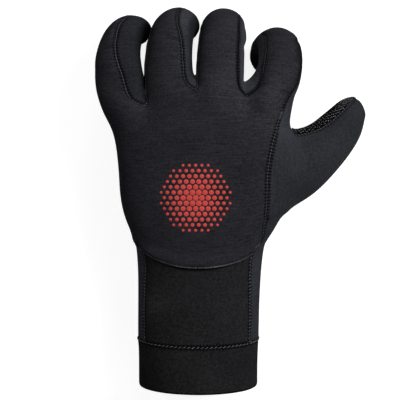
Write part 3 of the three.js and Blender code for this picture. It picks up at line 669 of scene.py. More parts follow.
# Lengths of the broad waves, the shorter ones and the puckers beside a seam, and their heights.
WAVE_LONG, WAVE_SHORT, PUCKER = 55.0, 24.0, 7.0
WAVE_HEIGHTS, PUCKER_REACH = (0.3, 0.22, 0.3), 4.5
CUFF_ROLL, CUFF_ROLL_WIDTH = 0.45, 2.2           # the cloth stands up beside the cuff's seam
RESTS_BELOW, FREE_ABOVE = 0.5, 8.0               # the relief grows between these heights
relief = WAVE_HEIGHTS[0] * waves(skin, WAVE_LONG) + WAVE_HEIGHTS[1] * waves(skin, WAVE_SHORT)
relief += WAVE_HEIGHTS[2] * waves(skin, PUCKER) * hump(seam_distance, PUCKER_REACH)
relief += sum(ridge(skin, *fold) for fold in FOLDS)
relief += CUFF_ROLL * hump(cuff_distance, CUFF_ROLL_WIDTH)
off_ground = rise(RESTS_BELOW, FREE_ABOVE, skin[:, 2])
skin = skin + normals * (relief * off_ground)[:, None]
normals = skin_normals(skin)
print("relief from", relief.min().round(2), "to", relief.max().round(2), "mm")

# %% [markdown]
# ## Panels as closed solids
# Extruding the skin with a Solidify modifier would give one sheet with no seams. Each panel is made
# by itself instead: its outer face, a rounded edge that falls into the groove, a cut wall and an
# inner face one thickness deeper. The rounded edge is a profile carried round the rim of the panel,
# the same way as a plane would break the edge of a board. The knit's place and the distance from the
# seam go with each panel as attributes, so the finish can follow the cloth.

# %% Profile of a panel's edge
RIM = 0.95                     # width of the rounding
GAP = 0.15                     # half of what is left open between two panels
LIMIT = 0.72                   # the rounding takes at most this share of the cells beside it
SHARPEST = 0.35                # keeps the gap from growing long at a sharp corner of a panel
# share of the rim's width from the seam, depth below the face, overhang at the lap
EDGE = np.array([
    [1.00, 0.00, 0.3],
    [0.66, 0.06, 0.9],
    [0.38, 0.24, 1.5],
    [0.16, 0.58, 2.0],
    [0.04, 1.00, 2.1],
    [0.00, 1.40, 1.7],
    [0.00, 1.90, 0.0],
    [0.00, WALL, 0.0],
])
LAP_LIFT, LAP_REACH = 1.7, 9.0                           # how high the lap stands, and how far in
LAP_FLAT, LAP_FLAT_UP = 0.5, (0.2, 0.7)                  # it lies lower where it turns over the side
LAP_BEAD, LAP_BEAD_AT, LAP_BEAD_WIDTH = 0.3, 0.5, 1.2    # and is thicker along its stitches
WRIST_DIP, WRIST_REACH = 0.7, 4.0                        # the wrist panel sinks under it
GROOVE, GROOVE_WIDTH = 0.3, 1.6                          # the cloth draws in at a seam
INNER_PASSES = 8
# The inner wall follows smoothed normals, so that it doesn't cross itself inside a tight bend.
inner_ways = normals
for _ in range(INNER_PASSES):
    near = gather(both_to, inner_ways[both_from], len(skin))
    inner_ways = unit(inner_ways + near)


def groove(distance):
    """How deep the face lies near a seam, as a bell curve of the distance."""
    return GROOVE * hump(distance, GROOVE_WIDTH)


def face_lift(number, lap, up):
    """Height of a panel's face over the skin near the lap, which it crosses above or below."""
    if number == BACK:
        lift = LAP_LIFT * (1 - rise(0, LAP_REACH, lap)) + LAP_BEAD * hump(lap - LAP_BEAD_AT, LAP_BEAD_WIDTH)
        return lift * (1 - LAP_FLAT * (1 - rise(*LAP_FLAT_UP, up)))
    if number == WRIST:
        return -WRIST_DIP * hump(lap, WRIST_REACH)
    return np.zeros(len(lap))


lap_points = np.zeros(len(skin), bool)
lap_points[lap_line] = True
print("edge profile:", len(EDGE), "rows; points on the lap:", int(lap_points.sum()))

# %% Where the cloth is darker at its seams, and where light and shade are painted on it
# How pale, or below 0 how dark, each panel's cloth gets beside its seams, and how far that reaches.
SEAM_TONE = {BACK: -0.4, PALM: 0.0, THUMB_PANEL: -0.4, LITTLE_RING: -0.55, RING_MIDDLE: -0.85,
             MIDDLE_INDEX: -0.9, WRIST: -0.85, CUFF: -0.8}
SEAM_TONE_AT, SEAM_TONE_WIDTH = 0.7, 0.55
# Two seams are pulled tight and look black: up the middle finger to the web's far side, between these
# x, and the long seam from the thumb's tack up the index finger, between these y.
TIGHT_TONE, TIGHT_WIDTH = -0.92, 0.5
TIGHT_X, TIGHT_Y, TIGHT_LONG = (16.0, 20.0), (56.0, 61.0), 0.65
GRIP_FROM, GRIP_BLEND, GRIP_TONE = -30.0, 10.0, 1.0    # the palm's knit is black from the wrist on
LIP_PAINTED_HIGHLIGHT, LIP_FROM, LIP_TO = 1.0, 0.2, 0.8             # painted highlight on the lap's lip, between these depths
LAP_PAINTED_HIGHLIGHT, LAP_HIGHLIGHT_WIDTH = 0.06, 0.9                   # the lap's edge gets a little painted highlight,
LAP_PAINTED_SHADOW, LAP_SHADOW_AT, LAP_SHADOW_WIDTH = 0.85, 2.6, 1.1      # and painted shadow darkens the cloth under it
# Painted shade: the cloth is darkened where neighbouring fingers shade it, on steep sides that face a gap.
# Each panel has the heights of its normal between which a side counts as less and less steep.
GAP_PAINTED_SHADE, GAP_FROM, GAP_TO, GAP_OUTER = 0.8, 56.0, 68.0, -60.0
STEEP_SIDES = {BACK: (0.72, 0.3), LITTLE_RING: (0.8, 0.25), RING_MIDDLE: (0.8, 0.25)}
SIDEWAYS, PATCH_UP = (0.0, 0.4), (0.0, 0.3)
# Patches of painted light and shade on the knit: x, y, radius, and how much paler, or below 0 darker.
LIGHT_AND_SHADE_PATCHES = [
    (-5.0, 66.0, 14.0, 0.07),
    (25.0, 60.0, 13.0, 0.12),
    (-66.0, 112.0, 7.0, 0.12),
    (-30.0, 116.0, 8.0, 0.12),
    (-27.0, 42.0, 18.0, -0.24),
    (-23.0, -31.0, 17.0, -0.25),
    (78.0, 51.0, 11.0, -0.22),
    (8.0, -105.0, 15.0, -0.26),
    (-51.0, -66.0, 9.0, 0.15),
]


def painted_light_and_shade(p):
    """Painted light and shade: sum of bell curves of the distance to each patch's middle, in x and y."""
    return sum(tone * hump(np.linalg.norm(p[:, :2] - (x, y), axis=1), radius)
               for x, y, radius, tone in LIGHT_AND_SHADE_PATCHES)


def gap_shade(p, up, steep):
    """Share of painted shade: 1 on steep sides between the fingers, 0 on the backs, the ends and the outer
    sides.
    """
    sideways = rise(*SIDEWAYS, np.abs(up[:, 0]) - np.abs(up[:, 1]))
    inner = (up[:, 0] > 0) | (p[:, 0] > GAP_OUTER)
    return inner * sideways * rise(*steep, up[:, 2]) * rise(GAP_FROM, GAP_TO, p[:, 1])


def seam_strength(number, used):
    """How dark the cloth gets beside its seams at each point, more where a seam is pulled tight."""
    return SEAM_TONE[number] + (TIGHT_TONE - SEAM_TONE[number]) * tight[used]


def face_tone(number, used, distance):
    """Tone of a panel's face: bell curves beside its seams, painted highlight and shadow at the lap, patches
    of painted light and shade, and painted shade in the gaps.
    """
    if number == PALM:
        return -GRIP_TONE * rise(GRIP_FROM, GRIP_FROM + GRIP_BLEND, skin[used, 1])
    place, up = skin[used], normals[used]
    width = SEAM_TONE_WIDTH + (TIGHT_WIDTH - SEAM_TONE_WIDTH) * tight[used]
    tone = seam_strength(number, used) * hump(distance - SEAM_TONE_AT, width)
    # patches of painted light and shade, on faces that look up
    tone = tone + painted_light_and_shade(place) * rise(*PATCH_UP, up[:, 2])
    # painted shade on steep sides that face a gap between the fingers
    if number in STEEP_SIDES:
        tone = tone - GAP_PAINTED_SHADE * gap_shade(place, up, STEEP_SIDES[number])
    if number == BACK:
        return tone + LAP_PAINTED_HIGHLIGHT * hump(lap_distance[used], LAP_HIGHLIGHT_WIDTH)
    # painted shadow of the lap on the cloth below it
    return tone - LAP_PAINTED_SHADOW * hump(lap_distance[used] - LAP_SHADOW_AT, LAP_SHADOW_WIDTH)


middle_seam, long_seam = (seam_pairs[1:].index((BACK, panel)) for panel in (MIDDLE_INDEX, THUMB_PANEL))
tight = (nearest_seam == middle_seam) * (1 - rise(*TIGHT_X, skin[:, 0]))
tight += TIGHT_LONG * (nearest_seam == long_seam) * rise(*TIGHT_Y, skin[:, 1])
print("points beside a tight seam:", int((tight > 0.5).sum()))

# %% One panel as a closed solid
KNIT_FACE, FOAM_FACE, LINING_FACE = 0, 1, 2
KNIT_ROWS = 4                  # rows of the edge that the knit still covers; below them it is cut foam


def panel_rim(mine):
    """Which cell sides are the panel's outline, their ends and points, the ways inwards and insets.

    The way inwards sums normal x side over the two sides that meet at a point, and is divided by half
    its own square, so that both sides are left at the same distance. The rounding shrinks where the
    cells beside the rim are narrow."""
    start, end = mine.ravel(), np.roll(mine, -1, axis=1).ravel()
    outline = ~np.isin(start * len(skin) + end, end * len(skin) + start)
    a, b = start[outline], end[outline]
    rim = np.unique(a)
    at_a, at_b = np.searchsorted(rim, a), np.searchsorted(rim, b)
    way = skin[b] - skin[a]
    inwards = gather(at_a, unit(np.cross(normals[a], way)), len(rim))
    inwards += gather(at_b, unit(np.cross(normals[b], way)), len(rim))
    inwards /= np.maximum((inwards ** 2).sum(1, keepdims=True) / 2, SHARPEST)
    on_rim = np.zeros(len(skin), bool)
    on_rim[rim] = True
    crossing = on_rim[start] != on_rim[end]
    rim_end = np.where(on_rim[start], start, end)[crossing]
    width = np.full(len(skin), FAR)
    np.minimum.at(width, rim_end, np.linalg.norm(skin[end] - skin[start], axis=1)[crossing])
    return outline, at_a, at_b, rim, inwards, np.minimum(RIM, LIMIT * width[rim])


def edge_layers(rim, inwards, inset, height, lap):
    """The edge's profile carried round the rim: skin + way inwards x share - normal x depth."""
    layers = []
    for share, depth, over in EDGE[:-1]:
        inward = (share * inset + GAP)[:, None] * inwards * (1 - lap[:, None])
        inward = inward - (lap * (over - GAP))[:, None] * inwards
        layers.append(skin[rim] + inward + normals[rim] * (height - depth)[:, None])
    return [*layers, skin[rim] + GAP * inwards - inner_ways[rim] * WALL]


def seam_vectors(number, used, rim, distance, lap, between):
    """Run along the seam, distance from it and tone (dark seams, painted light and painted shade), for the
    outer face, the inner face and the edge.
    """
    size = len(used)
    at_rim = seam_strength(number, rim)
    # painted highlight on the lap's lip, in place of light that the lip turns away from
    lip_highlight = [LIP_PAINTED_HIGHLIGHT if LIP_FROM < depth < LIP_TO else 0.0 for _, depth, _ in EDGE[1:-1]]
    edge_tone = [lap * share + (1 - lap) * at_rim for share in lip_highlight]
    run = np.concatenate([seam_run[used], np.zeros(size), np.tile(seam_run[rim], between)])
    distances = np.concatenate([distance, np.full(size, FAR), np.zeros(between * len(rim))])
    tone = np.concatenate([face_tone(number, used, distance), np.zeros(size), *edge_tone])
    return np.stack([run, distances, tone], axis=1)


def panel_solid(number):
    """Points, quads, material of each quad, and two attributes, of the panel's closed solid."""
    own = panels == number
    mine, my_knit = cells[own], knit[own]
    used, local = np.unique(mine, return_inverse=True)
    local = local.reshape(mine.shape)
    size = len(used)
    outline, at_a, at_b, rim, inwards, inset = panel_rim(mine)
    rim_local = np.searchsorted(used, rim)
    lap = lap_points[rim] * (1.0 if number == BACK else 0.0)
    distance = seam_distance[used].copy()
    distance[rim_local] = np.minimum(distance[rim_local] + inset, inset)
    height = face_lift(number, lap_distance[used], normals[used, 2]) - groove(distance)
    layers = edge_layers(rim, inwards, inset, height[rim_local], lap)
    outer = skin[used] + normals[used] * height[:, None]
    inner = skin[used] - inner_ways[used] * WALL
    outer[rim_local] = layers[0]
    inner[rim_local] = layers[-1]
    # Numbers of the points: the outer face, the inner face, then the layers between them.
    between = len(layers) - 2
    wall_ids = np.empty((len(layers), len(rim)), int)
    wall_ids[0] = rim_local
    wall_ids[-1] = size + rim_local
    wall_ids[1:-1] = 2 * size + np.arange(between * len(rim)).reshape(between, -1)
    all_points = np.concatenate([outer, inner, *layers[1:-1]])
    all_points[:, 2] = np.maximum(all_points[:, 2], 0)
    quads = [local, size + local[:, ::-1]]
    for upper, lower in zip(wall_ids[:-1], wall_ids[1:]):
        quads.append(np.stack([upper[at_b], upper[at_a], lower[at_a], lower[at_b]], axis=1))
    finish = [np.full(len(local), KNIT_FACE), np.full(len(local), LINING_FACE)]
    finish += [np.full(len(at_a), KNIT_FACE if row < KNIT_ROWS else FOAM_FACE)
               for row in range(len(layers) - 1)]
    wall_knit = np.stack([my_knit.reshape(-1, 2)[outline]] * 4, axis=1)
    knits = np.concatenate([my_knit, my_knit[:, ::-1], *[wall_knit] * (len(layers) - 1)])
    seam = seam_vectors(number, used, rim, distance, lap, between)
    return all_points, np.concatenate(quads), np.concatenate(finish), knits, seam


# %% Put a solid's arrays into a mesh
def new_piece(name, points_mm, faces, materials, finish=None):
    """A mesh object at the origin, in metres, smooth, riding on the glove's one body."""
    mesh = bpy.data.meshes.new(name)
    mesh.from_pydata((points_mm * METRE).tolist(), [], faces)
    for material in materials:
        mesh.materials.append(material)
    if finish is not None:
        mesh.polygons.foreach_set("material_index", finish.astype(np.int32))
    mesh.polygons.foreach_set("use_smooth", np.ones(len(mesh.polygons), bool))
    mesh.update()
    piece = bpy.data.objects.new(name, mesh)
    bpy.context.scene.collection.objects.link(piece)
    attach(piece, "root")
    return piece


def set_attribute(piece, name, domain, values):
    """Stores an array of vectors with the mesh, for the material to read."""
    attribute = piece.data.attributes.new(name, "FLOAT_VECTOR", domain)
    attribute.data.foreach_set("vector", values.astype(np.float32).ravel())


# %% [markdown]
# ## Finishes
# The knit is jersey: columns of small V-shaped loops. On the real cloth they are half a millimetre
# wide, so from a distance only a fine grain and a soft sheen are left. The loops are worked out from
# the panel's own knit coordinates rather than from a picture, so they bend with the fingers. The
# needle's pull marks beside the seams come from the run and the distance that each panel carries, and
# its dark seams, painted light and painted shade from its tone.

# %% Helpers for node materials
def new_material(name):
    """A material with a Principled shader, and its node tree."""
    material = bpy.data.materials.new(name)
    material.use_nodes = True
    tree = material.node_tree
    shader = tree.nodes["Principled BSDF"]
    return material, tree, shader


def value_of(tree, operation, *inputs):
    """The output of a Math node. An input is a number or another node's output."""
    node = tree.nodes.new("ShaderNodeMath")
    node.operation = operation
    for socket, given in zip(node.inputs, inputs):
        if isinstance(given, (int, float)):
            socket.default_value = given
        else:
            tree.links.new(given, socket)
    return node.outputs[0]


def axes_of(tree, vector):
    """The three components of a vector output."""
    node = tree.nodes.new("ShaderNodeSeparateXYZ")
    tree.links.new(vector, node.inputs[0])
    return node.outputs


def attribute_of(tree, name):
    """The vector that the mesh carries under this name."""
    node = tree.nodes.new("ShaderNodeAttribute")
    node.attribute_name = name
    return node.outputs["Vector"]


def noise_of(tree, scale, detail=3.0):
    """Soft noise on Object coordinates, from 0 to 1. The scale is in waves per metre."""
    place = tree.nodes.new("ShaderNodeTexCoord").outputs["Object"]
    node = tree.nodes.new("ShaderNodeTexNoise")
    node.inputs["Scale"].default_value = scale
    node.inputs["Detail"].default_value = detail
    tree.links.new(place, node.inputs["Vector"])
    return node.outputs["Fac"]


def mixed(tree, share, dark, light):
    """A colour between dark and light. share is an output, or dark may be one."""
    node = tree.nodes.new("ShaderNodeMix")
    node.data_type = "RGBA"
    tree.links.new(share, node.inputs["Factor"])
    for socket, given in ((node.inputs["A"], dark), (node.inputs["B"], light)):
        if isinstance(given, tuple):
            socket.default_value = (*given, 1)
        else:
            tree.links.new(given, socket)
    return node.outputs["Result"]


def bumped(tree, shader, height, distance):
    """Feeds a height, in units of distance in metres, into the shader's normal."""
    node = tree.nodes.new("ShaderNodeBump")
    node.inputs["Distance"].default_value = distance
    tree.links.new(height, node.inputs["Height"])
    tree.links.new(node.outputs["Normal"], shader.inputs["Normal"])


# %% Knitted neoprene
WALE, COURSE = 0.62, 0.5       # width and height of a knitted loop, in millimetres
STITCH = 2.1                   # from one stitch to the next along a seam
HOLE_OFF = 1.25                # where the needle went in, from the middle of the seam
HOLE_WIDE, HOLE_LONG = 0.42, 0.75
HOLE_SOFT = 1.5                # a pull mark has faded out at this many times its size
STREAK = (0.09, 1.35, 0.0)     # waves per millimetre along a course and across the courses
STREAK_DETAIL = 2.0
STRAND_STEEP, V_SLANT = 3.2, 1.3
LOOP_MEAN, LOOP_SWING = 0.7, 0.3                 # height of a strand along its wale


def loops(tree):
    """Height of jersey loops: two ridges in each wale, times a sine whose phase slants to the V."""
    u, v, _ = axes_of(tree, attribute_of(tree, "knit"))
    wale = value_of(tree, "FRACT", value_of(tree, "DIVIDE", u, WALE))
    half = value_of(tree, "ABSOLUTE", value_of(tree, "SUBTRACT", wale, 0.5))
    strand = value_of(tree, "ABSOLUTE", value_of(tree, "SUBTRACT", half, 0.25))
    ridge_height = value_of(tree, "SUBTRACT", 1.0, value_of(tree, "MULTIPLY", strand, STRAND_STEEP))
    leaning = value_of(tree, "MULTIPLY", half, V_SLANT)
    slant = value_of(tree, "ADD", value_of(tree, "DIVIDE", v, COURSE), leaning)
    wave = value_of(tree, "SINE", value_of(tree, "MULTIPLY", slant, 2 * math.pi))
    wave = value_of(tree, "MULTIPLY_ADD", wave, LOOP_SWING, LOOP_MEAN)
    return value_of(tree, "MULTIPLY", ridge_height, wave)


def streaks(tree):
    """Noise drawn out along the courses, as an uneven yarn shows in a knit."""
    scaled = tree.nodes.new("ShaderNodeVectorMath")
    scaled.operation = "MULTIPLY"
    tree.links.new(attribute_of(tree, "knit"), scaled.inputs[0])
    scaled.inputs[1].default_value = STREAK
    node = tree.nodes.new("ShaderNodeTexNoise")
    node.inputs["Scale"].default_value = 1.0
    node.inputs["Detail"].default_value = STREAK_DETAIL
    tree.links.new(scaled.outputs[0], node.inputs["Vector"])
    return node.outputs["Fac"]


def needle_holes(tree):
    """1 inside a pull mark, an ellipse across the seam at every stitch, on both sides of the seam."""
    run, off, _ = axes_of(tree, attribute_of(tree, "seam"))
    step = value_of(tree, "FRACT", value_of(tree, "DIVIDE", run, STITCH))
    along = value_of(tree, "MULTIPLY", value_of(tree, "SUBTRACT", step, 0.5), STITCH / HOLE_WIDE)
    across = value_of(tree, "DIVIDE", value_of(tree, "SUBTRACT", off, HOLE_OFF), HOLE_LONG)
    square = value_of(tree, "ADD", value_of(tree, "MULTIPLY", along, along),
                      value_of(tree, "MULTIPLY", across, across))
    node = tree.nodes.new("ShaderNodeMapRange")
    node.interpolation_type = "SMOOTHSTEP"
    tree.links.new(value_of(tree, "SQRT", square), node.inputs["Value"])
    for name, number in (("From Min", 1.0), ("From Max", HOLE_SOFT), ("To Min", 1.0), ("To Max", 0.0)):
        node.inputs[name].default_value = number
    return node.outputs[0]


# %% The finish of the knit
LOOP_SHARE, CLOUD_SHARE = 0.5, 0.6               # of the loops and of broad clouds in the colour
GRAIN_SCALE, CLOUD_SCALE = 750.0, 28.0           # waves per metre
PAINTED_LIGHT_SCALE = 5.0                                      # painted light: the pale end of a tone, as a multiple of the light colour
# colour of the needle holes, and also the dark end of the seams, the grip backing and painted shade
HOLE_AND_SHADE_COLOUR = (0.0013, 0.0013, 0.0016)
KNIT_ROUGH_SWING, KNIT_SPECULAR = 0.12, 0.03
SHEEN_ROUGHNESS, SHEEN_TINT = 0.4, (0.62, 0.64, 0.72, 1)
HOLE_DEPTH, GRAIN_HEIGHT = 2.0, 0.8              # against the height of a loop


def swung(tree, pattern, middle, swing):
    """A value that follows a pattern from 0 to 1 about its middle: middle + swing (pattern - 1/2)."""
    return value_of(tree, "MULTIPLY_ADD", pattern, swing, middle - 0.5 * swing)


def knitted(name, dark, light, sheen, streak=0.3, grit=1.2, roughness=0.85, bump=0.00012):
    """Matt jersey: its colour runs from dark between the loops to light on them, and its tone mixes in dark
    seams, painted light and painted shade.
    """
    material, tree, shader = new_material(name)
    height = loops(tree)
    grain = noise_of(tree, GRAIN_SCALE)
    cloud = noise_of(tree, CLOUD_SCALE)
    share = swung(tree, height, 0.5, LOOP_SHARE)
    for pattern, weight in ((grain, grit), (cloud, CLOUD_SHARE), (streaks(tree), streak)):
        share = value_of(tree, "ADD", share, swung(tree, pattern, 0.0, weight))
    colour = mixed(tree, share, dark, light)
    # The tone is painted light above 0 and painted shade below 0, besides the dark seams and the black grip
    # backing.
    tone = axes_of(tree, attribute_of(tree, "seam"))[2]
    painted_pale = tuple(PAINTED_LIGHT_SCALE * c for c in light)
    colour = mixed(tree, value_of(tree, "MULTIPLY", tone, share), colour, painted_pale)
    holes = needle_holes(tree)
    # needle holes, and painted shade from a negative tone
    holes_and_shade = value_of(tree, "MAXIMUM", holes, value_of(tree, "MULTIPLY", tone, -1.0))
    tree.links.new(mixed(tree, holes_and_shade, colour, HOLE_AND_SHADE_COLOUR), shader.inputs["Base Color"])
    tree.links.new(swung(tree, grain, roughness, KNIT_ROUGH_SWING), shader.inputs["Roughness"])
    shader.inputs["Specular IOR Level"].default_value = KNIT_SPECULAR
    shader.inputs["Sheen Weight"].default_value = sheen
    shader.inputs["Sheen Roughness"].default_value = SHEEN_ROUGHNESS
    shader.inputs["Sheen Tint"].default_value = SHEEN_TINT
    dents = value_of(tree, "SUBTRACT", height, value_of(tree, "MULTIPLY", holes, HOLE_DEPTH))
    grains = value_of(tree, "MULTIPLY", grain, GRAIN_HEIGHT)
    bumped(tree, shader, value_of(tree, "ADD", dents, grains), bump)
    return material


# Darkest and lightest of each knit, its sheen, how much its courses show as streaks, and its grain.
BLUE_BLACK = ((0.0053, 0.0052, 0.0063), (0.0286, 0.0279, 0.0342))
GREY_BLACK = ((0.0071, 0.0074, 0.0088), (0.0344, 0.0360, 0.0430))
# with painted shade: a darker copy of the knit for the little finger's fourchette, which faces a shaded gap
SHADED_DEEP_BLACK = ((0.0040, 0.0042, 0.0051), (0.0202, 0.0210, 0.0252))
BROWN_BLACK = ((0.0042, 0.0042, 0.0045), (0.0200, 0.0198, 0.0215))
# with painted light: a paler copy of the back's knit for the palm's strip by the wrist, which faces away from
# the key light
LIT_BLUE_BLACK = ((0.0105, 0.0101, 0.0126), (0.0600, 0.0580, 0.0720))
FACE_TONES = {
    BACK: (*BLUE_BLACK, 0.03, 1.1), PALM: (*LIT_BLUE_BLACK, 0.0, 0.5),
    THUMB_PANEL: (*GREY_BLACK, 0.04, 0.5, 0.9), LITTLE_RING: (*SHADED_DEEP_BLACK, 0.02, 0.6),
    RING_MIDDLE: (*GREY_BLACK, 0.06, 0.6), MIDDLE_INDEX: (*GREY_BLACK, 0.12, 0.6),
    WRIST: (*BROWN_BLACK, 0.02, 0.4, 1.9), CUFF: (*BROWN_BLACK, 0.02, 0.4, 1.9),
}


# %% Foam, thread, grip and print
PLAIN_DETAIL, PLAIN_ROUGH_SWING, COAT_ROUGHNESS = 4.0, 0.2, 0.06


def plain_finish(name, dark, light, roughness, scale, bump, specular=0.1, coat=0.0):
    """A finish with no weave: soft noise, scale waves to the metre, in colour, roughness and height."""
    material, tree, shader = new_material(name)
    grain = noise_of(tree, scale, PLAIN_DETAIL)
    tree.links.new(mixed(tree, grain, dark, light), shader.inputs["Base Color"])
    tree.links.new(swung(tree, grain, roughness, PLAIN_ROUGH_SWING), shader.inputs["Roughness"])
    shader.inputs["Specular IOR Level"].default_value = specular
    shader.inputs["Coat Weight"].default_value = coat
    shader.inputs["Coat Roughness"].default_value = COAT_ROUGHNESS
    bumped(tree, shader, grain, bump)
    return material


foam = plain_finish("neoprene foam", (0.006, 0.006, 0.007), (0.02, 0.02, 0.022),
                    roughness=0.9, scale=2500.0, bump=0.0001)
lining = knitted("knitted lining", (0.006, 0.006, 0.007), (0.022, 0.022, 0.025), sheen=0.03)
grey_thread = plain_finish("grey nylon thread", (0.037, 0.038, 0.044), (0.130, 0.133, 0.152),
                           roughness=0.7, scale=700.0, bump=0.00005)
dark_thread = plain_finish("black nylon thread", (0.001, 0.001, 0.0012), (0.004, 0.004, 0.005),
                           roughness=0.7, scale=900.0, bump=0.00005)
grip_finish = plain_finish("black rubber grip", (0.0016, 0.0016, 0.002), (0.005, 0.005, 0.006),
                           roughness=0.2, scale=400.0, bump=0.00006, coat=1.0)
red_print = plain_finish("red rubber print", (0.36, 0.022, 0.017), (0.50, 0.040, 0.028),
                         roughness=0.65, scale=600.0, bump=0.00003, specular=0.4)
print("plain finishes:", [m.name for m in (foam, grey_thread, dark_thread, grip_finish, red_print)])

# %% Make the eight panels
for number, name in enumerate(PANELS):
    face = knitted(name.replace("_", " ") + " knit", *FACE_TONES[number])
    panel_points, quads, finish, knits, seam = panel_solid(number)
    piece = new_piece("sewn_" + name, panel_points, quads.tolist(), [face, foam, lining], finish)
    set_attribute(piece, "knit", "CORNER", np.pad(knits.reshape(-1, 2), ((0, 0), (0, 1))))
    set_attribute(piece, "seam", "POINT", seam)
    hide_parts(name)
    print(name, len(quads) * 2, "triangles")

# %% [markdown]
# ## Thread
# A glued seam is stitched so that the thread shows as a thin dotted line in the groove, with short
# stitches across it that sink into the cloth at both ends. Particles or curves could carry them, but
# tubes worked out from the seam lines stay exactly in the groove. The line is one tube whose radius
# beats with the stitches. The stitches across are some hundreds of short tubes, made in one array.
# The cuff and the wrist panel are sewn with wider, open stitches instead, the lap's lip with short
# black running stitches, and two bar tacks hold the places where a seam would tear first.

# %% Tubes along the seams
PROBE = 0.3                    # a seam's direction is measured this far before and after a place


def closed_tubes(rings_of_points):
    """Joins rings (tubes, rings, sides, 3) into tubes: quads along, and a fan of triangles at each end."""
    tubes, count, sides, _ = rings_of_points.shape
    ids = np.arange(tubes * count * sides).reshape(tubes, count, sides)
    turned = np.roll(ids, -1, axis=2)
    quads = np.stack([ids[:, :-1], turned[:, :-1], turned[:, 1:], ids[:, 1:]], axis=-1).reshape(-1, 4)
    first = tubes * count * sides + np.repeat(np.arange(tubes)[:, None], sides, axis=1)
    last = first + tubes
    fans = [np.stack([first, turned[:, 0], ids[:, 0]], axis=-1),
            np.stack([last, ids[:, -1], turned[:, -1]], axis=-1)]
    ends = [rings_of_points[:, 0].mean(axis=1), rings_of_points[:, -1].mean(axis=1)]
    all_points = np.concatenate([rings_of_points.reshape(-1, 3), *ends])
    return all_points, quads.tolist() + np.concatenate(fans).reshape(-1, 3).tolist()


def tube_rings(centres, ups, radius, sides):
    """Circles round the centres: centre + r (cos a side + sin a up), side = up x direction."""
    ahead = unit(np.gradient(centres, axis=1))
    side = unit(np.cross(ups, ahead))
    up = np.cross(ahead, side)
    angle = np.arange(sides) * 2 * math.pi / sides
    ring = np.cos(angle)[:, None] * side[:, :, None] + np.sin(angle)[:, None] * up[:, :, None]
    return centres[:, :, None] + radius[..., None, None] * ring


def along_seam(ids, run, places):
    """Points and normals of a seam line at the given lengths from its start."""
    point = np.stack([np.interp(places, run, skin[ids][:, k]) for k in range(3)], axis=1)
    up = np.stack([np.interp(places, run, normals[ids][:, k]) for k in range(3)], axis=1)
    return point, unit(up)


def join_meshes(parts):
    """One list of points and one of faces from several."""
    all_points, all_faces, first = [], [], 0
    for part_points, part_faces in parts:
        all_points.append(part_points)
        all_faces += [[first + i for i in face] for face in part_faces]
        first += len(part_points)
    return np.concatenate(all_points), all_faces


def towards(panel):
    """At each seam point, the unit vector across the seam to this panel's cells."""
    own = cells[panels == panel]
    centres = np.repeat(skin[own].mean(axis=1), 4, axis=0)
    count = np.maximum(np.bincount(own.ravel(), minlength=len(skin)), 1)[:, None]
    return unit(gather(own.ravel(), centres, len(skin)) / count - skin)


def across_seam(ids, run, places, panel):
    """Points, normals, ways along and ways across to the panel's side, at lengths along the seam."""
    point, up = along_seam(ids, run, places)
    ahead = unit(along_seam(ids, run, places + PROBE)[0] - along_seam(ids, run, places - PROBE)[0])
    side = np.cross(up, ahead)
    way = towards(panel)[ids]
    way = np.stack([np.interp(places, run, way[:, k]) for k in range(3)], axis=1)
    sign = np.where((side * way).sum(axis=1) < 0, -1.0, 1.0)[:, None]
    return point, up, ahead, unit(side) * sign


# %% Thread in the grooves, and stitches across them
# Radius of the thread, how deep it dives between its stitches and how thin it gets there, as a share.
THREADS = {LITTLE_RING: (0.2, 0.12, 0.45), RING_MIDDLE: (0.16, 0.2, 0.4), MIDDLE_INDEX: (0.16, 0.2, 0.4)}
OTHER_THREAD = (0.24, 0.45, 0.1)
THREAD_SIDE, THREAD_DEEP = 0.12, 0.3     # to one side of the seam's middle, and under the skin
SUNK = 0.6                     # how much deeper the thread lies in the tight seam
# Step, reach across and slant along of the stitches: blind ones, round the wrist panel, at the cuff.
BLIND, ROUND_WRIST, AT_CUFF = (STITCH, 1.35, 0.2), (2.3, 0.6, 0.3), (2.9, 0.45, 1.0)
LINE_STEP = STITCH / 5
SHORTEST_SEAM = 3 * STITCH
ACROSS = np.linspace(-1, 1, 7)                   # the rings of a stitch, from end to end
PROUD, FLUSH, DIVE = 0.16, -0.12, 0.8            # height of a stitch's middle, and how far its ends dive
THREAD_SIDES, STITCH_SIDES = 6, 5
BLIND_RADIUS, ZIGZAG_RADIUS = 0.16, 0.22
thread_tubes, dark_stitches, light_stitches = [], [], []
for ids, run, pair in zip(sewn_lines, runs, seam_pairs[1:]):
    if run[-1] < SHORTEST_SEAM:
        continue
    places = np.arange(0, run[-1], LINE_STEP)
    point, up, ahead, side = across_seam(ids, run, places, pair[0])
    plain = WRIST in pair or CUFF in pair
    beat = 0.5 + 0.5 * np.cos(2 * math.pi * places / STITCH)
    thread_radius, dive, thinnest = THREADS.get(pair[1], OTHER_THREAD)
    deep = THREAD_DEEP + SUNK * np.interp(places, run, tight[ids])
    centre = point + side * THREAD_SIDE + up * (dive * (beat - 1) - deep)[:, None]
    radius = thread_radius * (thinnest + (1 - thinnest) * beat)
    if not plain:
        thread_tubes.append(closed_tubes(tube_rings(centre[None], up[None], radius[None], THREAD_SIDES)))
    step, reach, slanted = AT_CUFF if CUFF in pair else ROUND_WRIST if plain else BLIND
    places = np.arange(step / 2, run[-1], step)
    point, up, ahead, side = across_seam(ids, run, places, pair[0])
    slant = slanted * ACROSS
    sink = (PROUD if plain else FLUSH) - DIVE * np.abs(ACROSS) ** 3
    centres = (point[:, None] + side[:, None] * (reach * ACROSS)[:, None]
               + ahead[:, None] * slant[:, None] + up[:, None] * sink[:, None])
    ups = np.repeat(up[:, None], len(ACROSS), axis=1)
    (light_stitches if plain else dark_stitches).append((centres, ups))


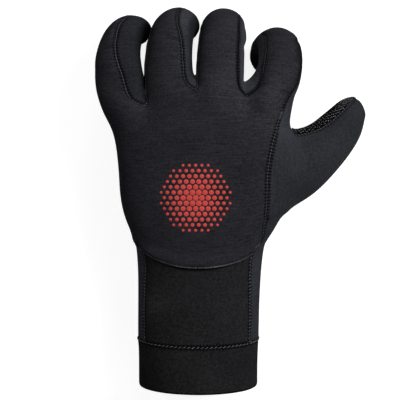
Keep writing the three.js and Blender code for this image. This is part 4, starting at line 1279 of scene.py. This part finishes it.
def stitch_piece(name, stitches, radius, material):
    """Joins all stitches across the seams, each a short tube, into one piece."""
    centres = np.concatenate([c for c, _ in stitches])
    ups = np.concatenate([u for _, u in stitches])
    radii = np.full(centres.shape[:2], radius)
    all_points, faces = closed_tubes(tube_rings(centres, ups, radii, STITCH_SIDES))
    all_points[:, 2] = np.maximum(all_points[:, 2], 0)
    piece = new_piece(name, all_points, faces, [material])
    print(name, len(centres), "stitches")


thread_points, thread_faces = join_meshes(thread_tubes)
thread_points[:, 2] = np.maximum(thread_points[:, 2], 0)
thread = new_piece("groove_thread", thread_points, thread_faces, [grey_thread])
stitch_piece("blind_stitches", dark_stitches, BLIND_RADIUS, dark_thread)
stitch_piece("zigzag_stitches", light_stitches, ZIGZAG_RADIUS, grey_thread)

# %% Running stitches along the lap's lip, a bar tack at its end and one beside the thumb
LAP_STITCH, LAP_STITCH_LONG, LAP_RADIUS = 2.6, 1.5, 0.1
LAP_PROUD, LAP_DIVE = 0.08, 0.5
LIP = 0.5                      # how far past the lap line the stitches lie
# Bar tacks: from thread to thread, how many, half their length, and how far in from the lap's end.
TACK_STEP, TACK_COUNT, TACK_REACH, TACK_IN = 0.95, 5, 1.4, 1.6
lap_run = run_along(lap_line)


def on_lap(places):
    """Points on the lip, their normals, and the ways along the lap and up from it."""
    point, up, ahead, side = across_seam(lap_line, lap_run, places, BACK)
    lift = face_lift(BACK, np.zeros(len(places)), up[:, 2])
    return point - side * LIP + up * lift[:, None], up, ahead, side


def bent_stitch(point, up, way, half_length):
    """Stitches centred on the points, along way, whose ends dive into the cloth as |t|^3."""
    dive = LAP_PROUD - LAP_DIVE * np.abs(ACROSS) ** 3
    centres = point[:, None] + way[:, None] * (half_length * ACROSS)[:, None] + up[:, None] * dive[:, None]
    return centres, np.repeat(up[:, None], len(ACROSS), axis=1)


lip_point, lip_up, lip_ahead, _ = on_lap(np.arange(LAP_STITCH, lap_run[-1] - LAP_STITCH, LAP_STITCH))
tack_point, tack_up, tack_ahead, tack_side = on_lap(lap_run[-1] - TACK_IN - TACK_STEP * np.arange(TACK_COUNT))
lap_stitches = [bent_stitch(lip_point, lip_up, lip_ahead, LAP_STITCH_LONG / 2)]
stitch_piece("lap_stitches", lap_stitches, LAP_RADIUS, dark_thread)
THUMB_TACK = (29.9, 56.5)      # x and y of the tack on the long seam
TACK_SLANT, TACK_THREAD = 0.35, 0.13
long_ids, long_run = sewn_lines[long_seam], runs[long_seam]
tack_place = long_run[np.linalg.norm(skin[long_ids, :2] - THUMB_TACK, axis=1).argmin()]
places = tack_place + TACK_STEP * (np.arange(TACK_COUNT) - (TACK_COUNT - 1) / 2)
knot_point, knot_up, knot_ahead, knot_side = across_seam(long_ids, long_run, places, BACK)
bar_tacks = [bent_stitch(tack_point + tack_side * TACK_REACH, tack_up,
                         unit(tack_side + TACK_SLANT * tack_ahead), TACK_REACH),
             bent_stitch(knot_point, knot_up, unit(knot_side - TACK_SLANT * knot_ahead), TACK_REACH)]
stitch_piece("bar_tacks", bar_tacks, TACK_THREAD, grey_thread)

# %% [markdown]
# ## Grip print
# The palm and the fronts of the fingers carry small rubber pads that are printed on the knit. They
# are low and glossy. The pads stand on the corners and middles of the cage's once-refined cells, so
# their rows follow the fingers and they get smaller towards the tips, as a printed pattern does when
# its panel is drawn narrower. A bump in the material would save the mesh, but only raised pads glint
# one by one along the thumb's edge.

# %% Rubber pads on the palm panel
PAD_SIDES = 6
PAD_HEIGHT = 0.45
PAD_SHARE = 0.36               # radius as a share of the once-refined cell's edge
PAD_CLEAR = 1.3                # from a seam to the middle of the nearest pad
TINY = 1e-6                    # gives a pad that faces straight up a side too
# radius and height of the rings of a pad, as shares
PAD_PROFILE = np.array([[1.0, -0.6], [0.98, 0.3], [0.8, 0.75], [0.45, 0.96], [0.0, 1.0]])
level1 = np.arange(point_count[1])
level2_middles = np.arange(point_count[2] - len(cells) // 4 ** (LEVELS - 1), point_count[2])
spots = np.concatenate([level1, level2_middles])
on_palm = np.zeros(len(skin), bool)
on_palm[cells[panels == PALM]] = True
spots = spots[on_palm[spots] & (seam_distance[spots] > PAD_CLEAR) & (skin[spots, 1] > GRIP_FROM)]
cell_width = gather(both_to, both_length[:, None], len(skin))[:, 0] / np.bincount(both_to)
pad_radius = PAD_SHARE * cell_width[spots] * 2 ** (LEVELS - 1)
up = normals[spots]
side = unit(np.cross(up, [0.0, 0.0, 1.0]) + TINY)
other = np.cross(up, side)
angle = np.arange(PAD_SIDES) * 2 * math.pi / PAD_SIDES
ring = np.cos(angle)[:, None] * side[:, None] + np.sin(angle)[:, None] * other[:, None]
layers = [skin[spots][:, None] + ring * (pad_radius * share)[:, None, None]
          + up[:, None] * height * PAD_HEIGHT for share, height in PAD_PROFILE[:-1]]
pad_rings = np.stack(layers, axis=1)
pad_points, pad_faces = closed_tubes(pad_rings)
pad_points[-len(spots):] += up * (PAD_PROFILE[-1, 1] - PAD_PROFILE[-2, 1]) * PAD_HEIGHT
pad_points[:, 2] = np.maximum(pad_points[:, 2], 0)
pads = new_piece("grip_pads", pad_points, pad_faces, [grip_finish])
print("pads:", len(spots))

# %% [markdown]
# ## Back print
# A rubber print sits on the back of the hand: a round field of red dots that shrink towards its edge,
# a common halftone figure. The material could paint it, but a real print has a thickness that catches
# the light at its rims. Each dot is a thin disc, laid on the skin by finding the nearest skin point
# and its tangent plane, so that the print bends with the hand.

# %% Red dots on the back panel
PRINT_CENTRE = (-23.0, 2.5)
PRINT_RADIUS = 24.0
DOT_PITCH = 4.0
DOT_SIDES = 14
PRINT_THICK = 0.12
DOT_LARGEST, DOT_SHRINK, DOT_FALL = 1.95, 1.2, 1.5       # radius in the middle, loss at the edge, power
DOT_PROFILE = ((1.0, -0.2), (1.0, 0.6), (0.9, 1.0))      # radius and height of its rings, as shares
# Rows of dots each way, and which skin points carry the print: how far round it, and how level.
GRID_REACH, PRINT_MARGIN, FACES_UP = 8, 6, 0.5
grid = np.arange(-GRID_REACH, GRID_REACH + 1)
i, j = (a.ravel() for a in np.meshgrid(grid, grid))
dots = np.stack([DOT_PITCH * (i + j / 2), DOT_PITCH * j * math.sqrt(3) / 2], axis=1)
from_middle = np.linalg.norm(dots, axis=1)
dots = dots[from_middle < PRINT_RADIUS]
dot_radius = DOT_LARGEST - DOT_SHRINK * (np.linalg.norm(dots, axis=1) / PRINT_RADIUS) ** DOT_FALL
near_print = np.linalg.norm(skin[:, :2] - PRINT_CENTRE, axis=1) < PRINT_RADIUS + PRINT_MARGIN
top_ids = np.flatnonzero((normals[:, 2] > FACES_UP) & near_print)


def on_back(xy):
    """Height and normal of the skin over points in x and y, from the nearest skin point's plane."""
    near = ((xy[:, None] - skin[top_ids, :2][None]) ** 2).sum(axis=2).argmin(axis=1)
    base, up = skin[top_ids[near]], normals[top_ids[near]]
    drop = ((xy - base[:, :2]) * up[:, :2]).sum(axis=1) / up[:, 2]
    return np.column_stack([xy, base[:, 2] - drop]), up


angle = np.arange(DOT_SIDES) * 2 * math.pi / DOT_SIDES
circle = np.stack([np.cos(angle), np.sin(angle)], axis=1)
middle_xy = dots + PRINT_CENTRE
rims = []
for share, height in DOT_PROFILE:
    xy = middle_xy[:, None] + circle[None] * (dot_radius * share)[:, None, None]
    place, up = on_back(xy.reshape(-1, 2))
    rims.append((place + up * height * PRINT_THICK).reshape(len(dots), DOT_SIDES, 3))
print_points, print_faces = closed_tubes(np.stack(rims, axis=1))
red = new_piece("back_print", print_points, print_faces, [red_print])
print("dots:", len(dots))

# %% [markdown]
# ## Studio
# The glove lies on a plain pale floor under a large soft light from the upper right, with weaker ones
# from the left and from beyond the fingers. Equal lights all round would be simpler, but black cloth
# shows its form only where the light falls off. Two small lamps at the upper left glint in the grip
# print, and one of them is left to gloss alone. The camera stands almost straight above, far away,
# with a long lens, so that the outline hardly changes with height.

# %% Camera
CAMERA_RAISE = math.radians(2.7)
CAMERA_DISTANCE = 1.3
CAMERA_TARGET = Vector((-0.0202, 0.0, 0.0396))
LENS, SENSOR_WIDTH, SEES_TO = 180.0, 36.0, 20.0


def look_from(eye, target, up):
    """A placing whose -Z axis points at the target, with up towards the top of the picture."""
    back = (eye - target).normalized()
    right = up.cross(back).normalized()
    true_up = back.cross(right)
    turn = Matrix((right, true_up, back)).transposed().to_4x4()
    return Matrix.Translation(eye) @ turn


camera_data = bpy.data.cameras.new("photo_camera")
camera_data.lens = LENS
camera_data.sensor_width = SENSOR_WIDTH
camera_data.clip_end = SEES_TO
camera = bpy.data.objects.new("photo_camera", camera_data)
bpy.context.scene.collection.objects.link(camera)
away = Vector((0, math.sin(CAMERA_RAISE), math.cos(CAMERA_RAISE)))
camera.matrix_world = look_from(CAMERA_TARGET + away * CAMERA_DISTANCE, CAMERA_TARGET, Vector((0, 1, 0)))
bpy.context.scene.camera = camera
print("camera at:", [round(c, 3) for c in camera.matrix_world.translation])

# %% A pale floor whose far edge turns up
FLAT_RADIUS, BOWL_RADIUS, BOWL_TURNS, BOWL_RISES = 2.0, 1.6, 48, 10
FLOOR_GREY, FLOOR_GLOW = (0.35, 0.35, 0.35, 1), 0.86
FLOOR_ROUGHNESS, FLOOR_SPECULAR = 0.9, 0.1


def bowl_mesh():
    """A disc whose edge turns up as a quarter circle: radius flat + R sin a, height R (1 - cos a)."""
    a = np.linspace(0, math.pi / 2, BOWL_RISES)
    radius = FLAT_RADIUS + BOWL_RADIUS * np.sin(a)
    height = BOWL_RADIUS * (1 - np.cos(a))
    turn = np.arange(BOWL_TURNS) * 2 * math.pi / BOWL_TURNS
    ring = np.stack([np.cos(turn), np.sin(turn), 0 * turn], axis=1)
    all_points = ring[None] * radius[:, None, None] + np.array([0, 0, 1.0]) * height[:, None, None]
    ids = np.arange(BOWL_RISES * BOWL_TURNS).reshape(BOWL_RISES, BOWL_TURNS)
    turned = np.roll(ids, -1, axis=1)
    quads = np.stack([ids[:-1], ids[1:], turned[1:], turned[:-1]], axis=-1).reshape(-1, 4)
    mesh = bpy.data.meshes.new("floor")
    mesh.from_pydata(all_points.reshape(-1, 3).tolist(), [], [ids[0].tolist()] + quads.tolist())
    return mesh


floor = bpy.data.objects.new("floor", bowl_mesh())
bpy.context.scene.collection.objects.link(floor)
floor_finish, _, floor_shader = new_material("white floor")
floor_shader.inputs["Base Color"].default_value = FLOOR_GREY
floor_shader.inputs["Roughness"].default_value = FLOOR_ROUGHNESS
floor_shader.inputs["Specular IOR Level"].default_value = FLOOR_SPECULAR
floor_shader.inputs["Emission Color"].default_value = (1, 1, 1, 1)
floor_shader.inputs["Emission Strength"].default_value = FLOOR_GLOW
floor.data.materials.append(floor_finish)
# The floor is seen and takes the soft shadow, but throws no light back up under the black cloth.
floor.visible_diffuse = False
floor.visible_glossy = False
floor.visible_shadow = False
print("floor faces:", len(floor.data.polygons))

# %% Lights
# Place, size, power, and whether the lamp is left to gloss alone.
LAMPS = {
    "key": ((1.1, 0.62, 1.08), 0.9, 40.0, False),
    "fill": ((-1.3, -0.3, 1.3), 1.2, 2.2, False),
    "glint": ((-0.9, 0.6, 1.2), 0.16, 3.2, False),
    "white wall": ((-0.9, 0.9, 0.6), 0.3, 17.0, True),
    "top": ((0.1, 1.5, 0.9), 0.3, 4.0, False),
}
SKY, BOUNCE = 0.17, 0.05       # the room's light from above, and what the ground throws back


def soft_light(name, place, size, power, only_gloss):
    """A square area light that faces the glove, and can be left to the glossy surfaces alone."""
    data = bpy.data.lights.new(name, "AREA")
    data.size = size
    data.energy = power
    light = bpy.data.objects.new(name, data)
    light.visible_diffuse = not only_gloss
    bpy.context.scene.collection.objects.link(light)
    light.matrix_world = look_from(Vector(place), Vector((0, 0, 0)), Vector((0, 0, 1)))


for name, lamp in LAMPS.items():
    soft_light(name, *lamp)
world = bpy.data.worlds.new("studio")
world.use_nodes = True
tree = world.node_tree
height = axes_of(tree, tree.nodes.new("ShaderNodeTexCoord").outputs["Generated"])[2]
above = value_of(tree, "GREATER_THAN", height, 0.0)
strength = value_of(tree, "MULTIPLY_ADD", above, SKY - BOUNCE, BOUNCE)
tree.links.new(strength, tree.nodes["Background"].inputs["Strength"])
tree.nodes["Background"].inputs["Color"].default_value = (1, 1, 1, 1)
bpy.context.scene.world = world
# Gloss shows the lamps and not the room, as in a dark studio.
world.cycles_visibility.glossy = False
bpy.context.scene.view_settings.view_transform = "Standard"
print("lamps:", ", ".join(LAMPS))
